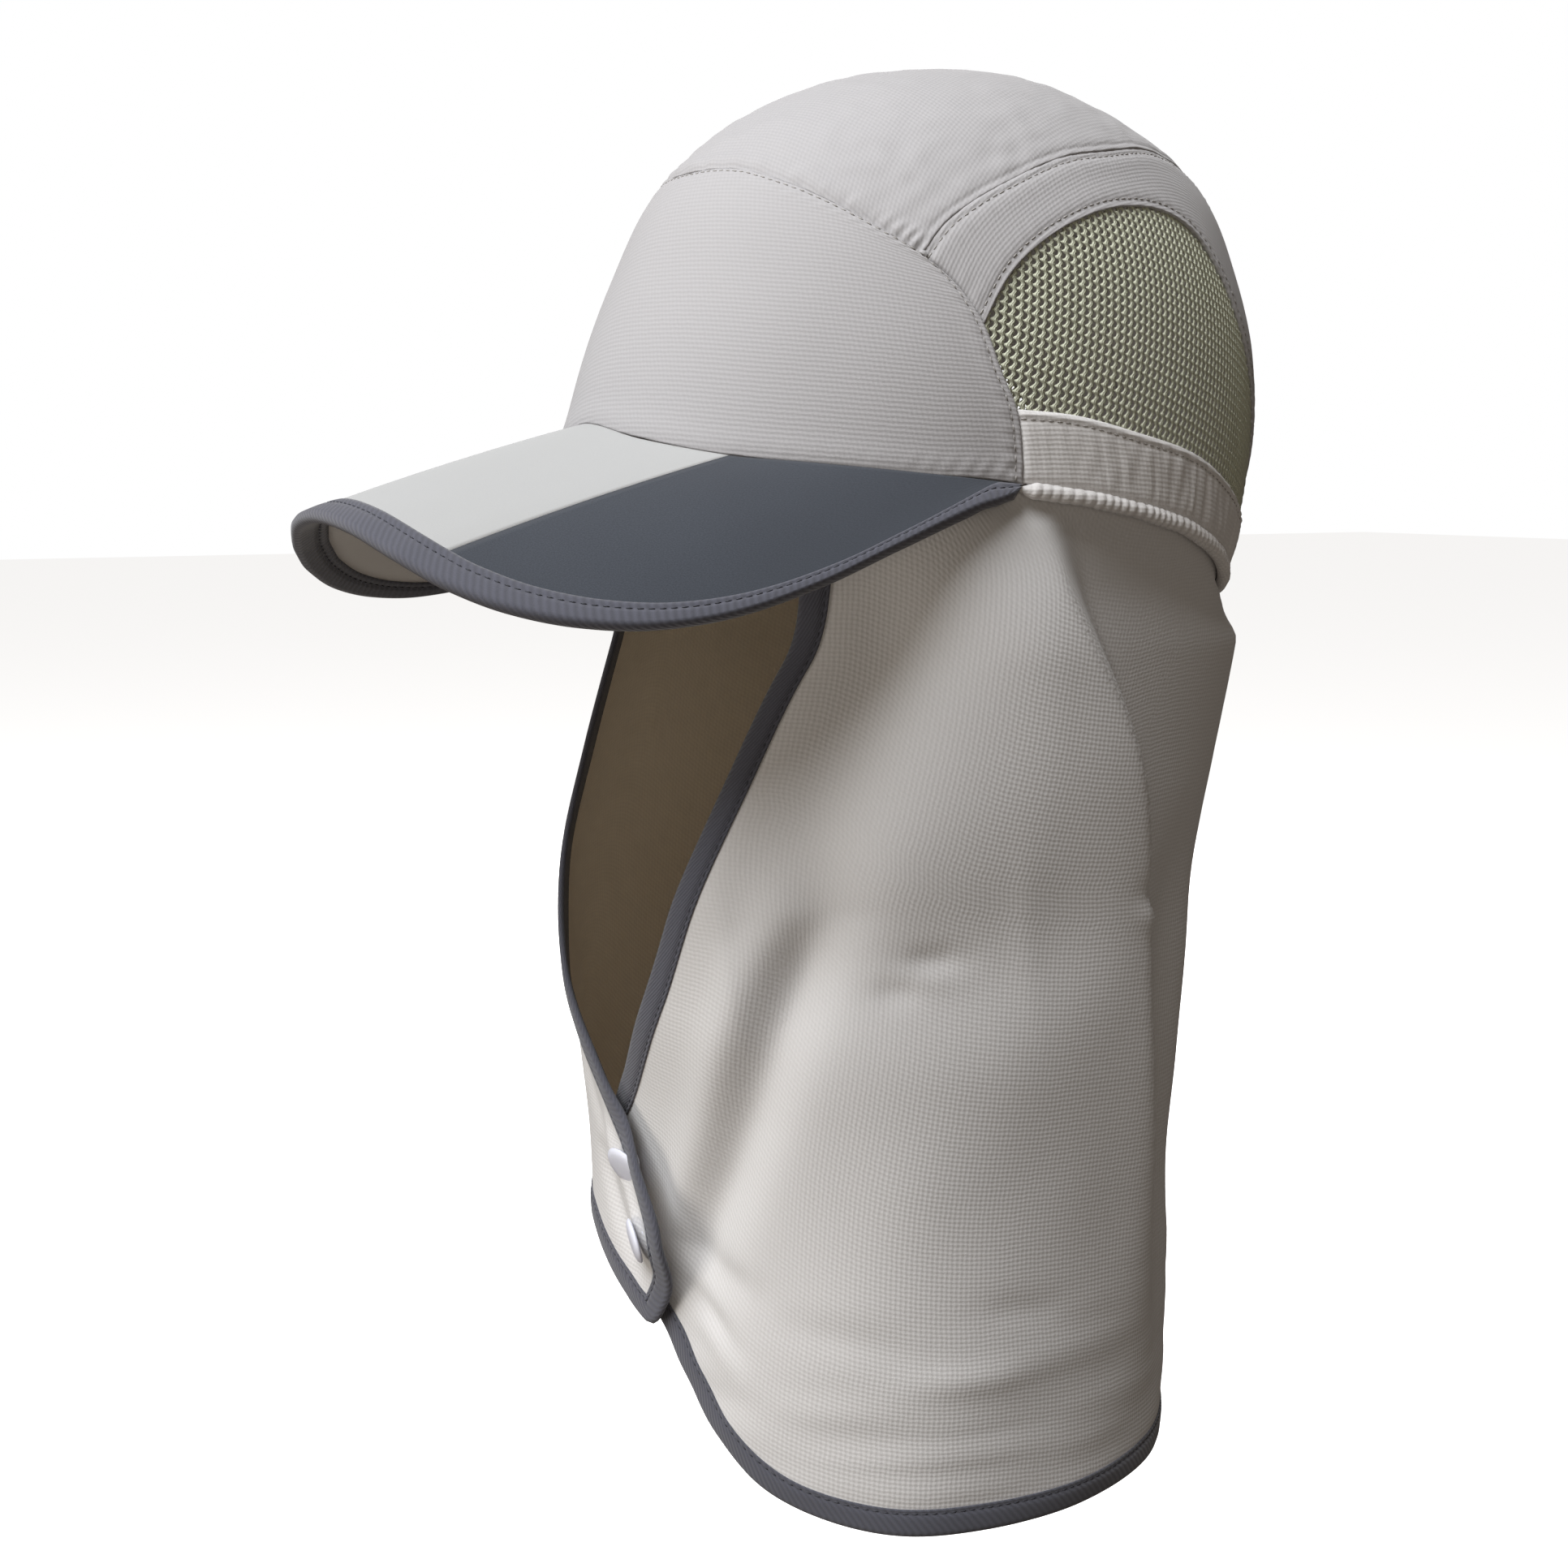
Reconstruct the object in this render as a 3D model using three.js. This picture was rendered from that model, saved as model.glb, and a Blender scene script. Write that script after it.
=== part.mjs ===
import * as THREE from "three";
import { mergeVertices } from "three/addons/utils/BufferGeometryUtils.js";

// A legionnaire cap: a stitched crown with a folded peak in front and a neck flap
// that closes under the chin. All lengths are in millimetres. The origin is the
// centre of the head opening, +Z is up, the front faces -Y and the wearer's left is +X.

// Crown: reach from the middle of the rim, in the plane of the rim
const crownFront = 102.5;
const crownBack = 94.8;
const crownSide = 82;
const crownHeight = 116.2;
const crownShift = 1.3;
const crownTilt = 15.3;
const crownWall = 1.5;

// Rear band and the rolled hem under it
const bandWall = 1.5;
const bandPucker = 0.7;
const bandPuckers = 22;
const rollHeight = 3.8;
const rollThickness = 2.4;

// Peak
const peakHalfWidth = 82.6;
const peakReach = 77;
const peakDroop = 28.5;
const peakCoverWall = 1.2;
const peakUndersideWall = 1.2;
const peakBindingWidth = 8.3;

// Neck flap
const flapDrop = 269.5;
const flapHalfWidth = 83;
const flapFront = 101;
const flapBack = 97;
const flapMiddle = 13;
const flapWall = 1;
const flapTuck = 6;
const flapTuckGap = 0.7;
const flapOverlapGap = 3.2;
const flapLapStart = 146;
const flapLapFull = 163;
const flapBindingWidth = 7;

// Tape that edges the peak and the flap
const tapeWall = 1;
const tapeGap = 0.6;

// Press snaps at the throat
const snapDiameter = 12.4;
const snapHeight = 1.9;
const snapPostDiameter = 5;
const snapStudDiameter = 6;
const snapBackDiameter = 10;
const snapBackHeight = 1.4;
const snapSpacing = 18.5;

// Clearance between pieces that are sewn or pressed together
const seamGap = 0.3;

// Degrees once round the head
const fullTurn = 360;

// Rise above the rim in degrees, and the reach there as shares of the reach at the rim
const crownSections = [
  { rise: -12, front: 1.035, back: 0.975, side: 0.99 },
  { rise: 0, front: 1.01, back: 1.01, side: 1.0 },
  { rise: 15, front: 1.015, back: 1.035, side: 1.03 },
  { rise: 30, front: 1.057, back: 1.07, side: 1.07 },
  { rise: 45, front: 1.07, back: 1.145, side: 1.11 },
  { rise: 60, front: 1.05, back: 1.345, side: 1.18 },
  { rise: 75, front: 0.972, back: 1.582, side: 1.25 },
  { rise: 90, front: 0.943, back: 1.735, side: 1.3 },
];

// Seams of the crown on the wearer's left: degrees round from the front, and degrees up
const frontSeamTop = [
  { turn: 0, rise: 31.8 },
  { turn: 21, rise: 31.3 },
  { turn: 34.5, rise: 29 },
  { turn: 46, rise: 26 },
  { turn: 55.2, rise: 23.2 },
];
const frontSeamSide = [
  { turn: 78.5, rise: -1.6 },
  { turn: 76.8, rise: 3 },
  { turn: 74.6, rise: 7.2 },
  { turn: 71, rise: 11.2 },
  { turn: 66.8, rise: 16.4 },
  { turn: 61.5, rise: 20.4 },
  { turn: 55.2, rise: 23.2 },
];
const topSeam = [
  { turn: 55.2, rise: 23.2 },
  { turn: 57.5, rise: 28.5 },
  { turn: 61, rise: 33 },
  { turn: 66.8, rise: 38.8 },
  { turn: 75.5, rise: 46 },
  { turn: 90, rise: 53 },
  { turn: 118, rise: 61 },
  { turn: 142, rise: 57.5 },
  { turn: 154, rise: 43 },
  { turn: 159, rise: 26 },
  { turn: 161, rise: 5.6 },
];
const ventSeam = [
  { turn: 66.8, rise: 16.4 },
  { turn: 69, rise: 23.4 },
  { turn: 73, rise: 29.4 },
  { turn: 80, rise: 35.8 },
  { turn: 89, rise: 40.8 },
  { turn: 101, rise: 43.7 },
  { turn: 111, rise: 42.6 },
  { turn: 119, rise: 38.2 },
  { turn: 128, rise: 31 },
  { turn: 138, rise: 23 },
  { turn: 148, rise: 15 },
  { turn: 155, rise: 9.5 },
  { turn: 158.5, rise: 6.8 },
];
const bandTop = [
  { turn: 74.6, rise: 7.2 },
  { turn: 84, rise: 8.7 },
  { turn: 95, rise: 9.3 },
  { turn: 110, rise: 9.8 },
  { turn: 124, rise: 8.6 },
  { turn: 137, rise: 6.9 },
  { turn: 153, rise: 5.8 },
  { turn: 180, rise: 5.4 },
  { turn: 207, rise: 5.8 },
];

// Lower edge of the crown: the peak is sewn on as far back as peakEndTurn
const crownEdge = [
  { turn: -18, rise: -6.1 },
  { turn: 0, rise: -4.6 },
  { turn: 18, rise: -6.1 },
  { turn: 35, rise: -6.3 },
  { turn: 47, rise: -5.2 },
  { turn: 59, rise: -3.8 },
  { turn: 76, rise: -1.6 },
  { turn: 92, rise: 0.3 },
  { turn: 110, rise: 1.2 },
  { turn: 125, rise: 0.6 },
  { turn: 140, rise: -1 },
  { turn: 160, rise: -2.4 },
  { turn: 180, rise: -2.7 },
  { turn: 200, rise: -2.4 },
];
const bandEndTurn = 78.5;
const peakEndTurn = 74;

// Outer edge of the peak against the turn of the seam point that it folds out from.
// Side is a share of peakHalfWidth, reach of peakReach in front of the crown's rim,
// droop of peakDroop below the origin.
const peakEdge = [
  { turn: -15, side: -0.245, reach: 0.98, droop: 0.22 },
  { turn: 0, side: 0, reach: 1, droop: 0.14 },
  { turn: 15, side: 0.245, reach: 0.98, droop: 0.22 },
  { turn: 28.5, side: 0.439, reach: 0.921, droop: 0.42 },
  { turn: 35, side: 0.525, reach: 0.876, droop: 0.54 },
  { turn: 40.5, side: 0.62, reach: 0.811, droop: 0.68 },
  { turn: 46, side: 0.746, reach: 0.684, droop: 0.85 },
  { turn: 51, side: 0.856, reach: 0.511, droop: 0.965 },
  { turn: 56, side: 0.935, reach: 0.301, droop: 1 },
  { turn: 61, side: 0.984, reach: 0.055, droop: 0.92 },
  { turn: 66.5, side: 1.008, reach: -0.227, droop: 0.7 },
  { turn: 70.5, side: 1.012, reach: -0.49, droop: 0.42 },
  { turn: 74, side: 1.008, reach: -0.79, droop: 0.1 },
];
const peakStripeTurn = 35;
const peakCrownShare = 0.012;
const peakTuck = 1;
const peakTuckFade = { from: 34, to: 54 };

// Level sections of the flap, from where it leaves the band down to the hem. Drop is a
// share of flapDrop, half is a share of flapHalfWidth, front of flapFront, back of
// flapBack and middle of flapMiddle, which is how far the widest line lies forward.
const flapSections = [
  { drop: 0.16, half: 0.984, front: 0.84, back: 0.988, middle: 0.77 },
  { drop: 0.277, half: 0.988, front: 0.945, back: 0.902, middle: 0.77 },
  { drop: 0.387, half: 0.982, front: 1.01, back: 0.838, middle: 0.92 },
  { drop: 0.498, half: 0.976, front: 0.982, back: 0.82, middle: 1 },
  { drop: 0.609, half: 0.97, front: 0.923, back: 0.788, middle: 1 },
  { drop: 0.72, half: 0.97, front: 0.898, back: 0.752, middle: 1 },
  { drop: 0.849, half: 0.988, front: 0.896, back: 0.748, middle: 1 },
  { drop: 1, half: 0.994, front: 0.876, back: 0.73, middle: 1 },
];
const flapSquareness = 2.12;

// Border of each half of the flap, down the front edge, round the lower corner and back
// along the hem: degrees round from the back, and drop as a share of flapDrop
const leftBorder = [
  { turn: 124, drop: -0.045 },
  { turn: 135.5, drop: 0.06 },
  { turn: 144, drop: 0.166 },
  { turn: 149, drop: 0.277 },
  { turn: 155.5, drop: 0.387 },
  { turn: 167, drop: 0.498 },
  { turn: 183, drop: 0.609 },
  { turn: 192, drop: 0.66 },
  { turn: 198.5, drop: 0.705 },
  { turn: 200, drop: 0.75, corner: true },
  { turn: 195.5, drop: 0.785 },
  { turn: 186.5, drop: 0.8 },
  { turn: 177.5, drop: 0.81 },
  { turn: 170, drop: 0.835 },
  { turn: 163.5, drop: 0.88 },
  { turn: 155, drop: 0.928 },
  { turn: 142, drop: 0.972 },
  { turn: 123, drop: 0.995 },
  { turn: 98, drop: 1 },
  { turn: 60, drop: 1 },
  { turn: 0, drop: 1 },
];
const rightBorder = [
  { turn: 124, drop: -0.045 },
  { turn: 133, drop: 0.06 },
  { turn: 139, drop: 0.166 },
  { turn: 143, drop: 0.277 },
  { turn: 149.3, drop: 0.387 },
  { turn: 161, drop: 0.498 },
  { turn: 180, drop: 0.609 },
  { turn: 189, drop: 0.66 },
  { turn: 195, drop: 0.705 },
  { turn: 196.5, drop: 0.75 },
  { turn: 194, drop: 0.795 },
  { turn: 187.5, drop: 0.818, corner: true },
  { turn: 179.5, drop: 0.812 },
  { turn: 170.5, drop: 0.788 },
  { turn: 161, drop: 0.763 },
  { turn: 151, drop: 0.76 },
  { turn: 143.5, drop: 0.79 },
  { turn: 136, drop: 0.845 },
  { turn: 126, drop: 0.905 },
  { turn: 112, drop: 0.96 },
  { turn: 94, drop: 0.992 },
  { turn: 60, drop: 1 },
  { turn: 0, drop: 1 },
];

// Folds of the flap. Each runs from one turn and drop to another; depth is its share of
// flapHalfWidth, outward where positive, and width its half width in degrees.
const flapFolds = [
  { side: 1, topTurn: 86, topDrop: 0.1, lowTurn: 62, lowDrop: 0.42, depth: 0.035, width: 9 },
  { side: 1, topTurn: 66, topDrop: 0.16, lowTurn: 46, lowDrop: 0.5, depth: -0.06, width: 12 },
  { side: 1, topTurn: 62, topDrop: 0.4, lowTurn: 60, lowDrop: 0.8, depth: 0.03, width: 9 },
  { side: 1, topTurn: 46, topDrop: 0.44, lowTurn: 45, lowDrop: 0.86, depth: -0.05, width: 10 },
  { side: 1, topTurn: 26, topDrop: 0.2, lowTurn: 27, lowDrop: 0.9, depth: 0.03, width: 11 },
  { side: 1, topTurn: 156, topDrop: 0.56, lowTurn: 150, lowDrop: 0.86, depth: -0.04, width: 6 },
  { side: -1, topTurn: 84, topDrop: 0.1, lowTurn: 64, lowDrop: 0.46, depth: 0.035, width: 9 },
  { side: -1, topTurn: 62, topDrop: 0.16, lowTurn: 47, lowDrop: 0.62, depth: -0.055, width: 12 },
  { side: -1, topTurn: 63, topDrop: 0.42, lowTurn: 66, lowDrop: 0.85, depth: 0.026, width: 10 },
  { side: -1, topTurn: 28, topDrop: 0.2, lowTurn: 24, lowDrop: 0.9, depth: 0.03, width: 11 },
  { side: -1, topTurn: 193, topDrop: 0.64, lowTurn: 199, lowDrop: 0.76, depth: 0.07, width: 9 },
];

// Place of the upper snap on the right half, and of the lower one below it
const snapTurn = 183.4;
const snapDrop = 0.672;
const snapLean = 5.5;
const snapSeat = 0.35;

const degree = Math.PI / 180;
const xAxis = new THREE.Vector3(1, 0, 0);
const yAxis = new THREE.Vector3(0, 1, 0);

// Value of one column where the key column passes a given place, smooth through the rows
function through(rows, key, column, place) {
  const rising = rows[rows.length - 1][key] > rows[0][key] ? 1 : -1;
  let k = 0;
  while (k < rows.length - 2 && (place - rows[k + 1][key]) * rising > 0) {
    k += 1;
  }
  const slope = (i) => {
    const low = rows[Math.max(i - 1, 0)];
    const high = rows[Math.min(i + 1, rows.length - 1)];
    return (high[column] - low[column]) / (high[key] - low[key]);
  };
  const step = rows[k + 1][key] - rows[k][key];
  const t = (place - rows[k][key]) / step;
  const rise = t * t * (3 - 2 * t);
  return (
    rows[k][column] * (1 - rise) +
    rows[k + 1][column] * rise +
    step * (slope(k) * t * (1 - t) * (1 - t) - slope(k + 1) * t * t * (1 - t))
  );
}

function smooth(low, high, value) {
  return THREE.MathUtils.smoothstep(value, low, high);
}

// Unit normal of a surface given over two parameters
function normalOf(surface, a, b, step) {
  const alongA = surface(a + step, b).sub(surface(a - step, b));
  const alongB = surface(a, b + step).sub(surface(a, b - step));
  return alongA.cross(alongB).normalize();
}

// Outer face of the crown, by degrees round from the front and degrees above the rim
function crownFace(turn, rise) {
  const forward = Math.cos(turn * degree);
  const reach =
    forward > 0
      ? crownFront * through(crownSections, "rise", "front", rise)
      : crownBack * through(crownSections, "rise", "back", rise);
  const side = crownSide * through(crownSections, "rise", "side", rise);
  const level = Math.cos(rise * degree);
  return new THREE.Vector3(
    side * level * Math.sin(turn * degree),
    crownShift - reach * level * forward,
    crownHeight * Math.sin(rise * degree),
  ).applyAxisAngle(xAxis, -crownTilt * degree);
}

// Point at a depth under the crown's outer face
function crownPoint(turn, rise, depth) {
  const normal = normalOf(crownFace, turn, rise, 0.2);
  return crownFace(turn, rise).addScaledVector(normal, -depth);
}

// Degrees of rise that one millimetre up the crown takes at the rim
const risePerLength = 1 / (crownHeight * degree);

function edgeRise(turn) {
  return through(crownEdge, "turn", "rise", Math.min(Math.abs(turn), fullTurn - Math.abs(turn)));
}

function bandTopRise(turn) {
  return through(bandTop, "turn", "rise", Math.min(turn, fullTurn - turn));
}

// Closed wall between an outer face, side 1, and an inner face, side 0, over u and v
function wall(columns, rows, face) {
  const positions = [];
  const triangles = [];
  const at = (side, i, j) => (side * (rows + 1) + j) * (columns + 1) + i;
  const quad = (a, b, c, d) => triangles.push(a, b, c, a, c, d);
  for (let side = 0; side < 2; side += 1) {
    for (let j = 0; j <= rows; j += 1) {
      for (let i = 0; i <= columns; i += 1) {
        positions.push(...face(i / columns, j / rows, side).toArray());
      }
    }
  }
  for (let j = 0; j < rows; j += 1) {
    for (let i = 0; i < columns; i += 1) {
      quad(at(1, i, j), at(1, i + 1, j), at(1, i + 1, j + 1), at(1, i, j + 1));
      quad(at(0, i, j), at(0, i, j + 1), at(0, i + 1, j + 1), at(0, i + 1, j));
    }
    quad(at(1, 0, j), at(1, 0, j + 1), at(0, 0, j + 1), at(0, 0, j));
    quad(at(0, columns, j), at(0, columns, j + 1), at(1, columns, j + 1), at(1, columns, j));
  }
  for (let i = 0; i < columns; i += 1) {
    quad(at(0, i, 0), at(0, i + 1, 0), at(1, i + 1, 0), at(1, i, 0));
    quad(at(1, i, rows), at(1, i + 1, rows), at(0, i + 1, rows), at(0, i, rows));
  }
  return geometryOf(positions, triangles);
}

// Closed bar: a flat section, counter-clockwise, set at each step by place(s, x, y). Each
// of its twisted faces is folded inward, so that it keeps clear of the cloth beside it.
function bar(steps, sectionAt, place) {
  const positions = [];
  const triangles = [];
  const count = sectionAt(0).length;
  const corner = (i) => new THREE.Vector3().fromArray(positions, 3 * i);
  for (let s = 0; s <= steps; s += 1) {
    for (const { x, y } of sectionAt(s / steps)) {
      positions.push(...place(s / steps, x, y).toArray());
    }
  }
  for (let s = 0; s < steps; s += 1) {
    for (let i = 0; i < count; i += 1) {
      const next = (i + 1) % count;
      const a = s * count + i;
      const b = s * count + next;
      const rising = corner(b + count).sub(corner(a));
      const falling = corner(a + count).sub(corner(b));
      const apart = corner(b).add(corner(a + count)).sub(corner(a)).sub(corner(b + count));
      if (rising.cross(falling).dot(apart) > 0) {
        triangles.push(a, b, b + count, a, b + count, a + count);
      } else {
        triangles.push(a, b, a + count, b, b + count, a + count);
      }
    }
  }
  for (const [a, b, c] of THREE.ShapeUtils.triangulateShape(sectionAt(0), [])) {
    triangles.push(a, c, b);
  }
  const last = steps * count;
  for (const [a, b, c] of THREE.ShapeUtils.triangulateShape(sectionAt(1), [])) {
    triangles.push(last + a, last + b, last + c);
  }
  return geometryOf(positions, triangles);
}

function geometryOf(positions, triangles) {
  const geometry = new THREE.BufferGeometry();
  geometry.setAttribute("position", new THREE.Float32BufferAttribute(positions, 3));
  geometry.setIndex(triangles);
  geometry.computeVertexNormals();
  return geometry;
}

// Flat map of the dome: the middle is the top of the crown and the front is up
function spot(turn, rise) {
  const radius = 1 - rise / 90;
  return new THREE.Vector2(Math.sin(turn * degree), Math.cos(turn * degree)).multiplyScalar(radius);
}

function seam(rows, mirrored = 1) {
  return new THREE.SplineCurve(rows.map((row) => spot(mirrored * row.turn, row.rise)));
}

// Patch between four seams, in the flat map: low and high run along u, near and far along v
function patch(low, high, near, far) {
  return (u, v) => {
    const point = low.getPointAt(u).multiplyScalar(1 - v);
    point.addScaledVector(high.getPointAt(u), v);
    point.addScaledVector(near.getPointAt(v), 1 - u).addScaledVector(far.getPointAt(v), u);
    point.addScaledVector(low.getPointAt(0), -(1 - u) * (1 - v));
    point.addScaledVector(low.getPointAt(1), -u * (1 - v));
    point.addScaledVector(high.getPointAt(0), -(1 - u) * v);
    point.addScaledVector(high.getPointAt(1), -u * v);
    return { turn: Math.atan2(point.x, point.y) / degree, rise: 90 * (1 - point.length()) };
  };
}

// Panel of the crown over a patch, drawn in from its seams by half the seam gap
function panel(columns, rows, place, thickness) {
  const on = (u, v) => {
    const p = place(u, v);
    return crownFace(p.turn, p.rise);
  };
  const span = (a, b, c) => a.distanceTo(b) + b.distanceTo(c);
  const shrink = (t, length) => {
    const margin = (seamGap * 0.65) / length;
    return margin + t * (1 - 2 * margin);
  };
  return wall(columns, rows, (u, v, side) => {
    const across = shrink(u, span(on(0, v), on(0.5, v), on(1, v)));
    const up = shrink(v, span(on(u, 0), on(u, 0.5), on(u, 1)));
    const p = place(across, up);
    return crownPoint(p.turn, p.rise, side ? 0 : thickness);
  });
}

function frontPanel() {
  const lowEdge = [];
  for (let turn = -bandEndTurn; turn < bandEndTurn + 1; turn += bandEndTurn / 6) {
    lowEdge.push({ turn, rise: edgeRise(turn) });
  }
  const highEdge = [...frontSeamTop].reverse().map((row) => ({ ...row, turn: -row.turn }));
  highEdge.push(...frontSeamTop.slice(1));
  return panel(
    20,
    8,
    patch(seam(lowEdge), seam(highEdge), seam(frontSeamSide, -1), seam(frontSeamSide)),
    crownWall,
  );
}

function topPanel() {
  const frontEdge = [...frontSeamTop].reverse().map((row) => ({ ...row, turn: -row.turn }));
  frontEdge.push(...frontSeamTop.slice(1));
  const end = topSeam[topSeam.length - 1];
  const rearEdge = [];
  for (let i = 0; i <= 6; i += 1) {
    const turn = THREE.MathUtils.lerp(-end.turn, end.turn - fullTurn, i / 6);
    rearEdge.push({ turn, rise: bandTopRise(-turn) });
  }
  return panel(
    10,
    18,
    patch(seam(frontEdge), seam(rearEdge), seam(topSeam, -1), seam(topSeam)),
    crownWall,
  );
}

// Strip between the top seam and the vent, on one side of the crown
function sideYoke(side) {
  const front = frontSeamSide.slice(4);
  const end = topSeam[topSeam.length - 1];
  const vent = ventSeam[ventSeam.length - 1];
  const rear = [vent, { ...end, rise: bandTopRise(end.turn) }];
  const along = [seam(ventSeam, side), seam(topSeam, side)];
  const ends = [seam(front, side), seam(rear, side)];
  return side > 0
    ? panel(18, 3, patch(along[0], along[1], ends[0], ends[1]), crownWall)
    : panel(3, 18, patch(ends[0], ends[1], along[0], along[1]), crownWall);
}

// Net panel between the vent seam and the band, on one side of the crown
function meshVent(side) {
  const frontEnd = frontSeamSide.slice(2, 5);
  const start = frontEnd[0];
  const end = topSeam[topSeam.length - 1];
  const lowEdge = [];
  for (let i = 0; i <= 8; i += 1) {
    const turn = THREE.MathUtils.lerp(start.turn, end.turn, i / 8);
    lowEdge.push({ turn, rise: bandTopRise(turn) });
  }
  const rear = [lowEdge[lowEdge.length - 1], ventSeam[ventSeam.length - 1]];
  const sides = [seam(lowEdge, side), seam(ventSeam, side)];
  const ends = [seam(frontEnd, side), seam(rear, side)];
  return side > 0
    ? panel(16, 5, patch(sides[0], sides[1], ends[0], ends[1]), crownWall)
    : panel(5, 16, patch(ends[0], ends[1], sides[0], sides[1]), crownWall);
}

// Band round the back: gathered toward its middle, with its front ends on the side seams
function rearBand() {
  const endAt = (share) => {
    const rise = THREE.MathUtils.lerp(edgeRise(bandEndTurn), bandTopRise(bandTop[0].turn), share);
    return through([...frontSeamSide].reverse(), "rise", "turn", rise);
  };
  const gather = (u) => Math.sin(Math.PI * u) ** 0.5;
  return wall(4 * bandPuckers, 2, (u, v, side) => {
    const turn = THREE.MathUtils.lerp(endAt(v) + 0.2, fullTurn - endAt(v) - 0.2, u);
    const margin = (seamGap / 2) * risePerLength;
    const rise = THREE.MathUtils.lerp(edgeRise(turn) + margin, bandTopRise(turn) - margin, v);
    const pucker = bandPucker * gather(u) * Math.cos(2 * Math.PI * bandPuckers * u);
    return crownPoint(turn, rise, (side ? 0 : bandWall) + pucker * (0.35 + 0.5 * (1 - v)) * side);
  });
}

// Rolled hem along the band's lower edge
function bandRoll() {
  const sides = 6;
  const section = [];
  for (let i = 0; i < sides; i += 1) {
    const angle = (i / sides) * 2 * Math.PI;
    section.push(new THREE.Vector2(Math.cos(angle), Math.sin(angle)));
  }
  const halfHeight = rollHeight / 2;
  const halfThickness = rollThickness / 2;
  const sink = bandWall - halfThickness;
  return bar(56, () => section, (s, x, y) => {
    const turn = THREE.MathUtils.lerp(fullTurn - bandEndTurn, bandEndTurn, s);
    const below = (halfHeight + seamGap) / Math.cos(Math.PI / sides) - y * halfHeight;
    const rise = edgeRise(turn) - below * risePerLength;
    return crownPoint(turn, rise, sink - x * halfThickness);
  });
}

// Values from one end to the other that stand evenly along the curve that they give
function evenly(count, from, to, pointAt) {
  const fine = 240;
  const travel = [0];
  for (let i = 1; i <= fine; i += 1) {
    const before = pointAt(THREE.MathUtils.lerp(from, to, (i - 1) / fine));
    travel.push(travel[i - 1] + before.distanceTo(pointAt(THREE.MathUtils.lerp(from, to, i / fine))));
  }
  const values = [];
  for (let k = 0; k <= count; k += 1) {
    const goal = (travel[fine] * k) / count;
    const i = Math.max(travel.findIndex((length) => length >= goal), 1);
    const part = (goal - travel[i - 1]) / (travel[i] - travel[i - 1]);
    values.push(THREE.MathUtils.lerp(from, to, (i - 1 + part) / fine));
  }
  return values;
}

// Top face of the peak: turn picks the fold line and share runs from the seam to the edge
function peakFace(turn, share) {
  const side = Math.sign(turn);
  const away = Math.abs(turn);
  const rise = edgeRise(away) - seamGap * risePerLength;
  const root = crownPoint(turn, rise, 0);
  if (share < 0) {
    const tuck = peakTuck * (1 - smooth(peakTuckFade.from, peakTuckFade.to, away));
    return root.lerp(crownPoint(turn, rise, tuck), -share);
  }
  const front = -(crownFront - crownShift) * Math.cos(crownTilt * degree);
  const edge = new THREE.Vector3(
    side * peakHalfWidth * through(peakEdge, "turn", "side", away),
    front - peakReach * through(peakEdge, "turn", "reach", away),
    -peakDroop * through(peakEdge, "turn", "droop", away),
  );
  const point = root.clone().lerp(edge, share);
  point.z += peakCrownShare * root.distanceTo(edge) * 4 * share * (1 - share);
  return point;
}

// Point at a depth under the peak's top face
function peakPoint(turn, share, depth) {
  const near = Math.max(share, 0.02);
  const alongTurn = peakFace(turn + 0.3, near).sub(peakFace(turn - 0.3, near));
  const alongShare = peakFace(turn, near + 0.01).sub(peakFace(turn, near - 0.01));
  const normal = alongShare.cross(alongTurn).normalize();
  return peakFace(turn, share).addScaledVector(normal, -depth);
}

// Share of the fold line that a length from the outer edge takes
function peakShare(turn, length) {
  return 1 - length / peakFace(turn, 0).distanceTo(peakFace(turn, 1));
}

// Fold lines at which the peak's sheets and its tape are drawn, from one end to the other
const peakSideTurns = evenly(11, peakStripeTurn, peakEndTurn, (turn) => peakFace(turn, 1));
const peakMiddleTurns = [];
for (let i = -5; i <= 5; i += 1) {
  peakMiddleTurns.push((peakStripeTurn * i) / 5);
}
const peakTurns = [
  ...[...peakSideTurns].reverse().map((turn) => -turn),
  ...peakMiddleTurns.slice(1, -1),
  ...peakSideTurns,
];

// Sheet of the peak through some fold lines, between two depths
function peakSheet(turns, top, bottom) {
  const rows = 5;
  const columns = turns.length - 1;
  return wall(columns, rows, (u, v, side) => {
    const turn = turns[columns - Math.round(u * columns)];
    const row = Math.round(v * rows);
    const share = row < 1 ? -1 : (peakShare(turn, tapeGap) * (row - 1)) / (rows - 1);
    return peakPoint(turn, share, side ? top : bottom);
  });
}

// Cover sheet between two fold lines, drawn in from a stripe line by half the seam gap
function peakCover(turns, lowEnd, highEnd) {
  return peakSheet([lowEnd, ...turns.slice(1, -1), highEnd], 0, peakCoverWall);
}

// Folded tape over an edge: x runs in from the edge, y through the thickness
function tapeSection(width, halfCloth) {
  const inside = halfCloth + tapeGap;
  const outside = inside + tapeWall;
  const back = -tapeGap;
  return [
    new THREE.Vector2(back - tapeWall, -inside),
    new THREE.Vector2(back, -outside),
    new THREE.Vector2(width, -outside),
    new THREE.Vector2(width, -inside),
    new THREE.Vector2(back, -inside),
    new THREE.Vector2(back, inside),
    new THREE.Vector2(width, inside),
    new THREE.Vector2(width, outside),
    new THREE.Vector2(back, outside),
    new THREE.Vector2(back - tapeWall, inside),
  ];
}

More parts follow.
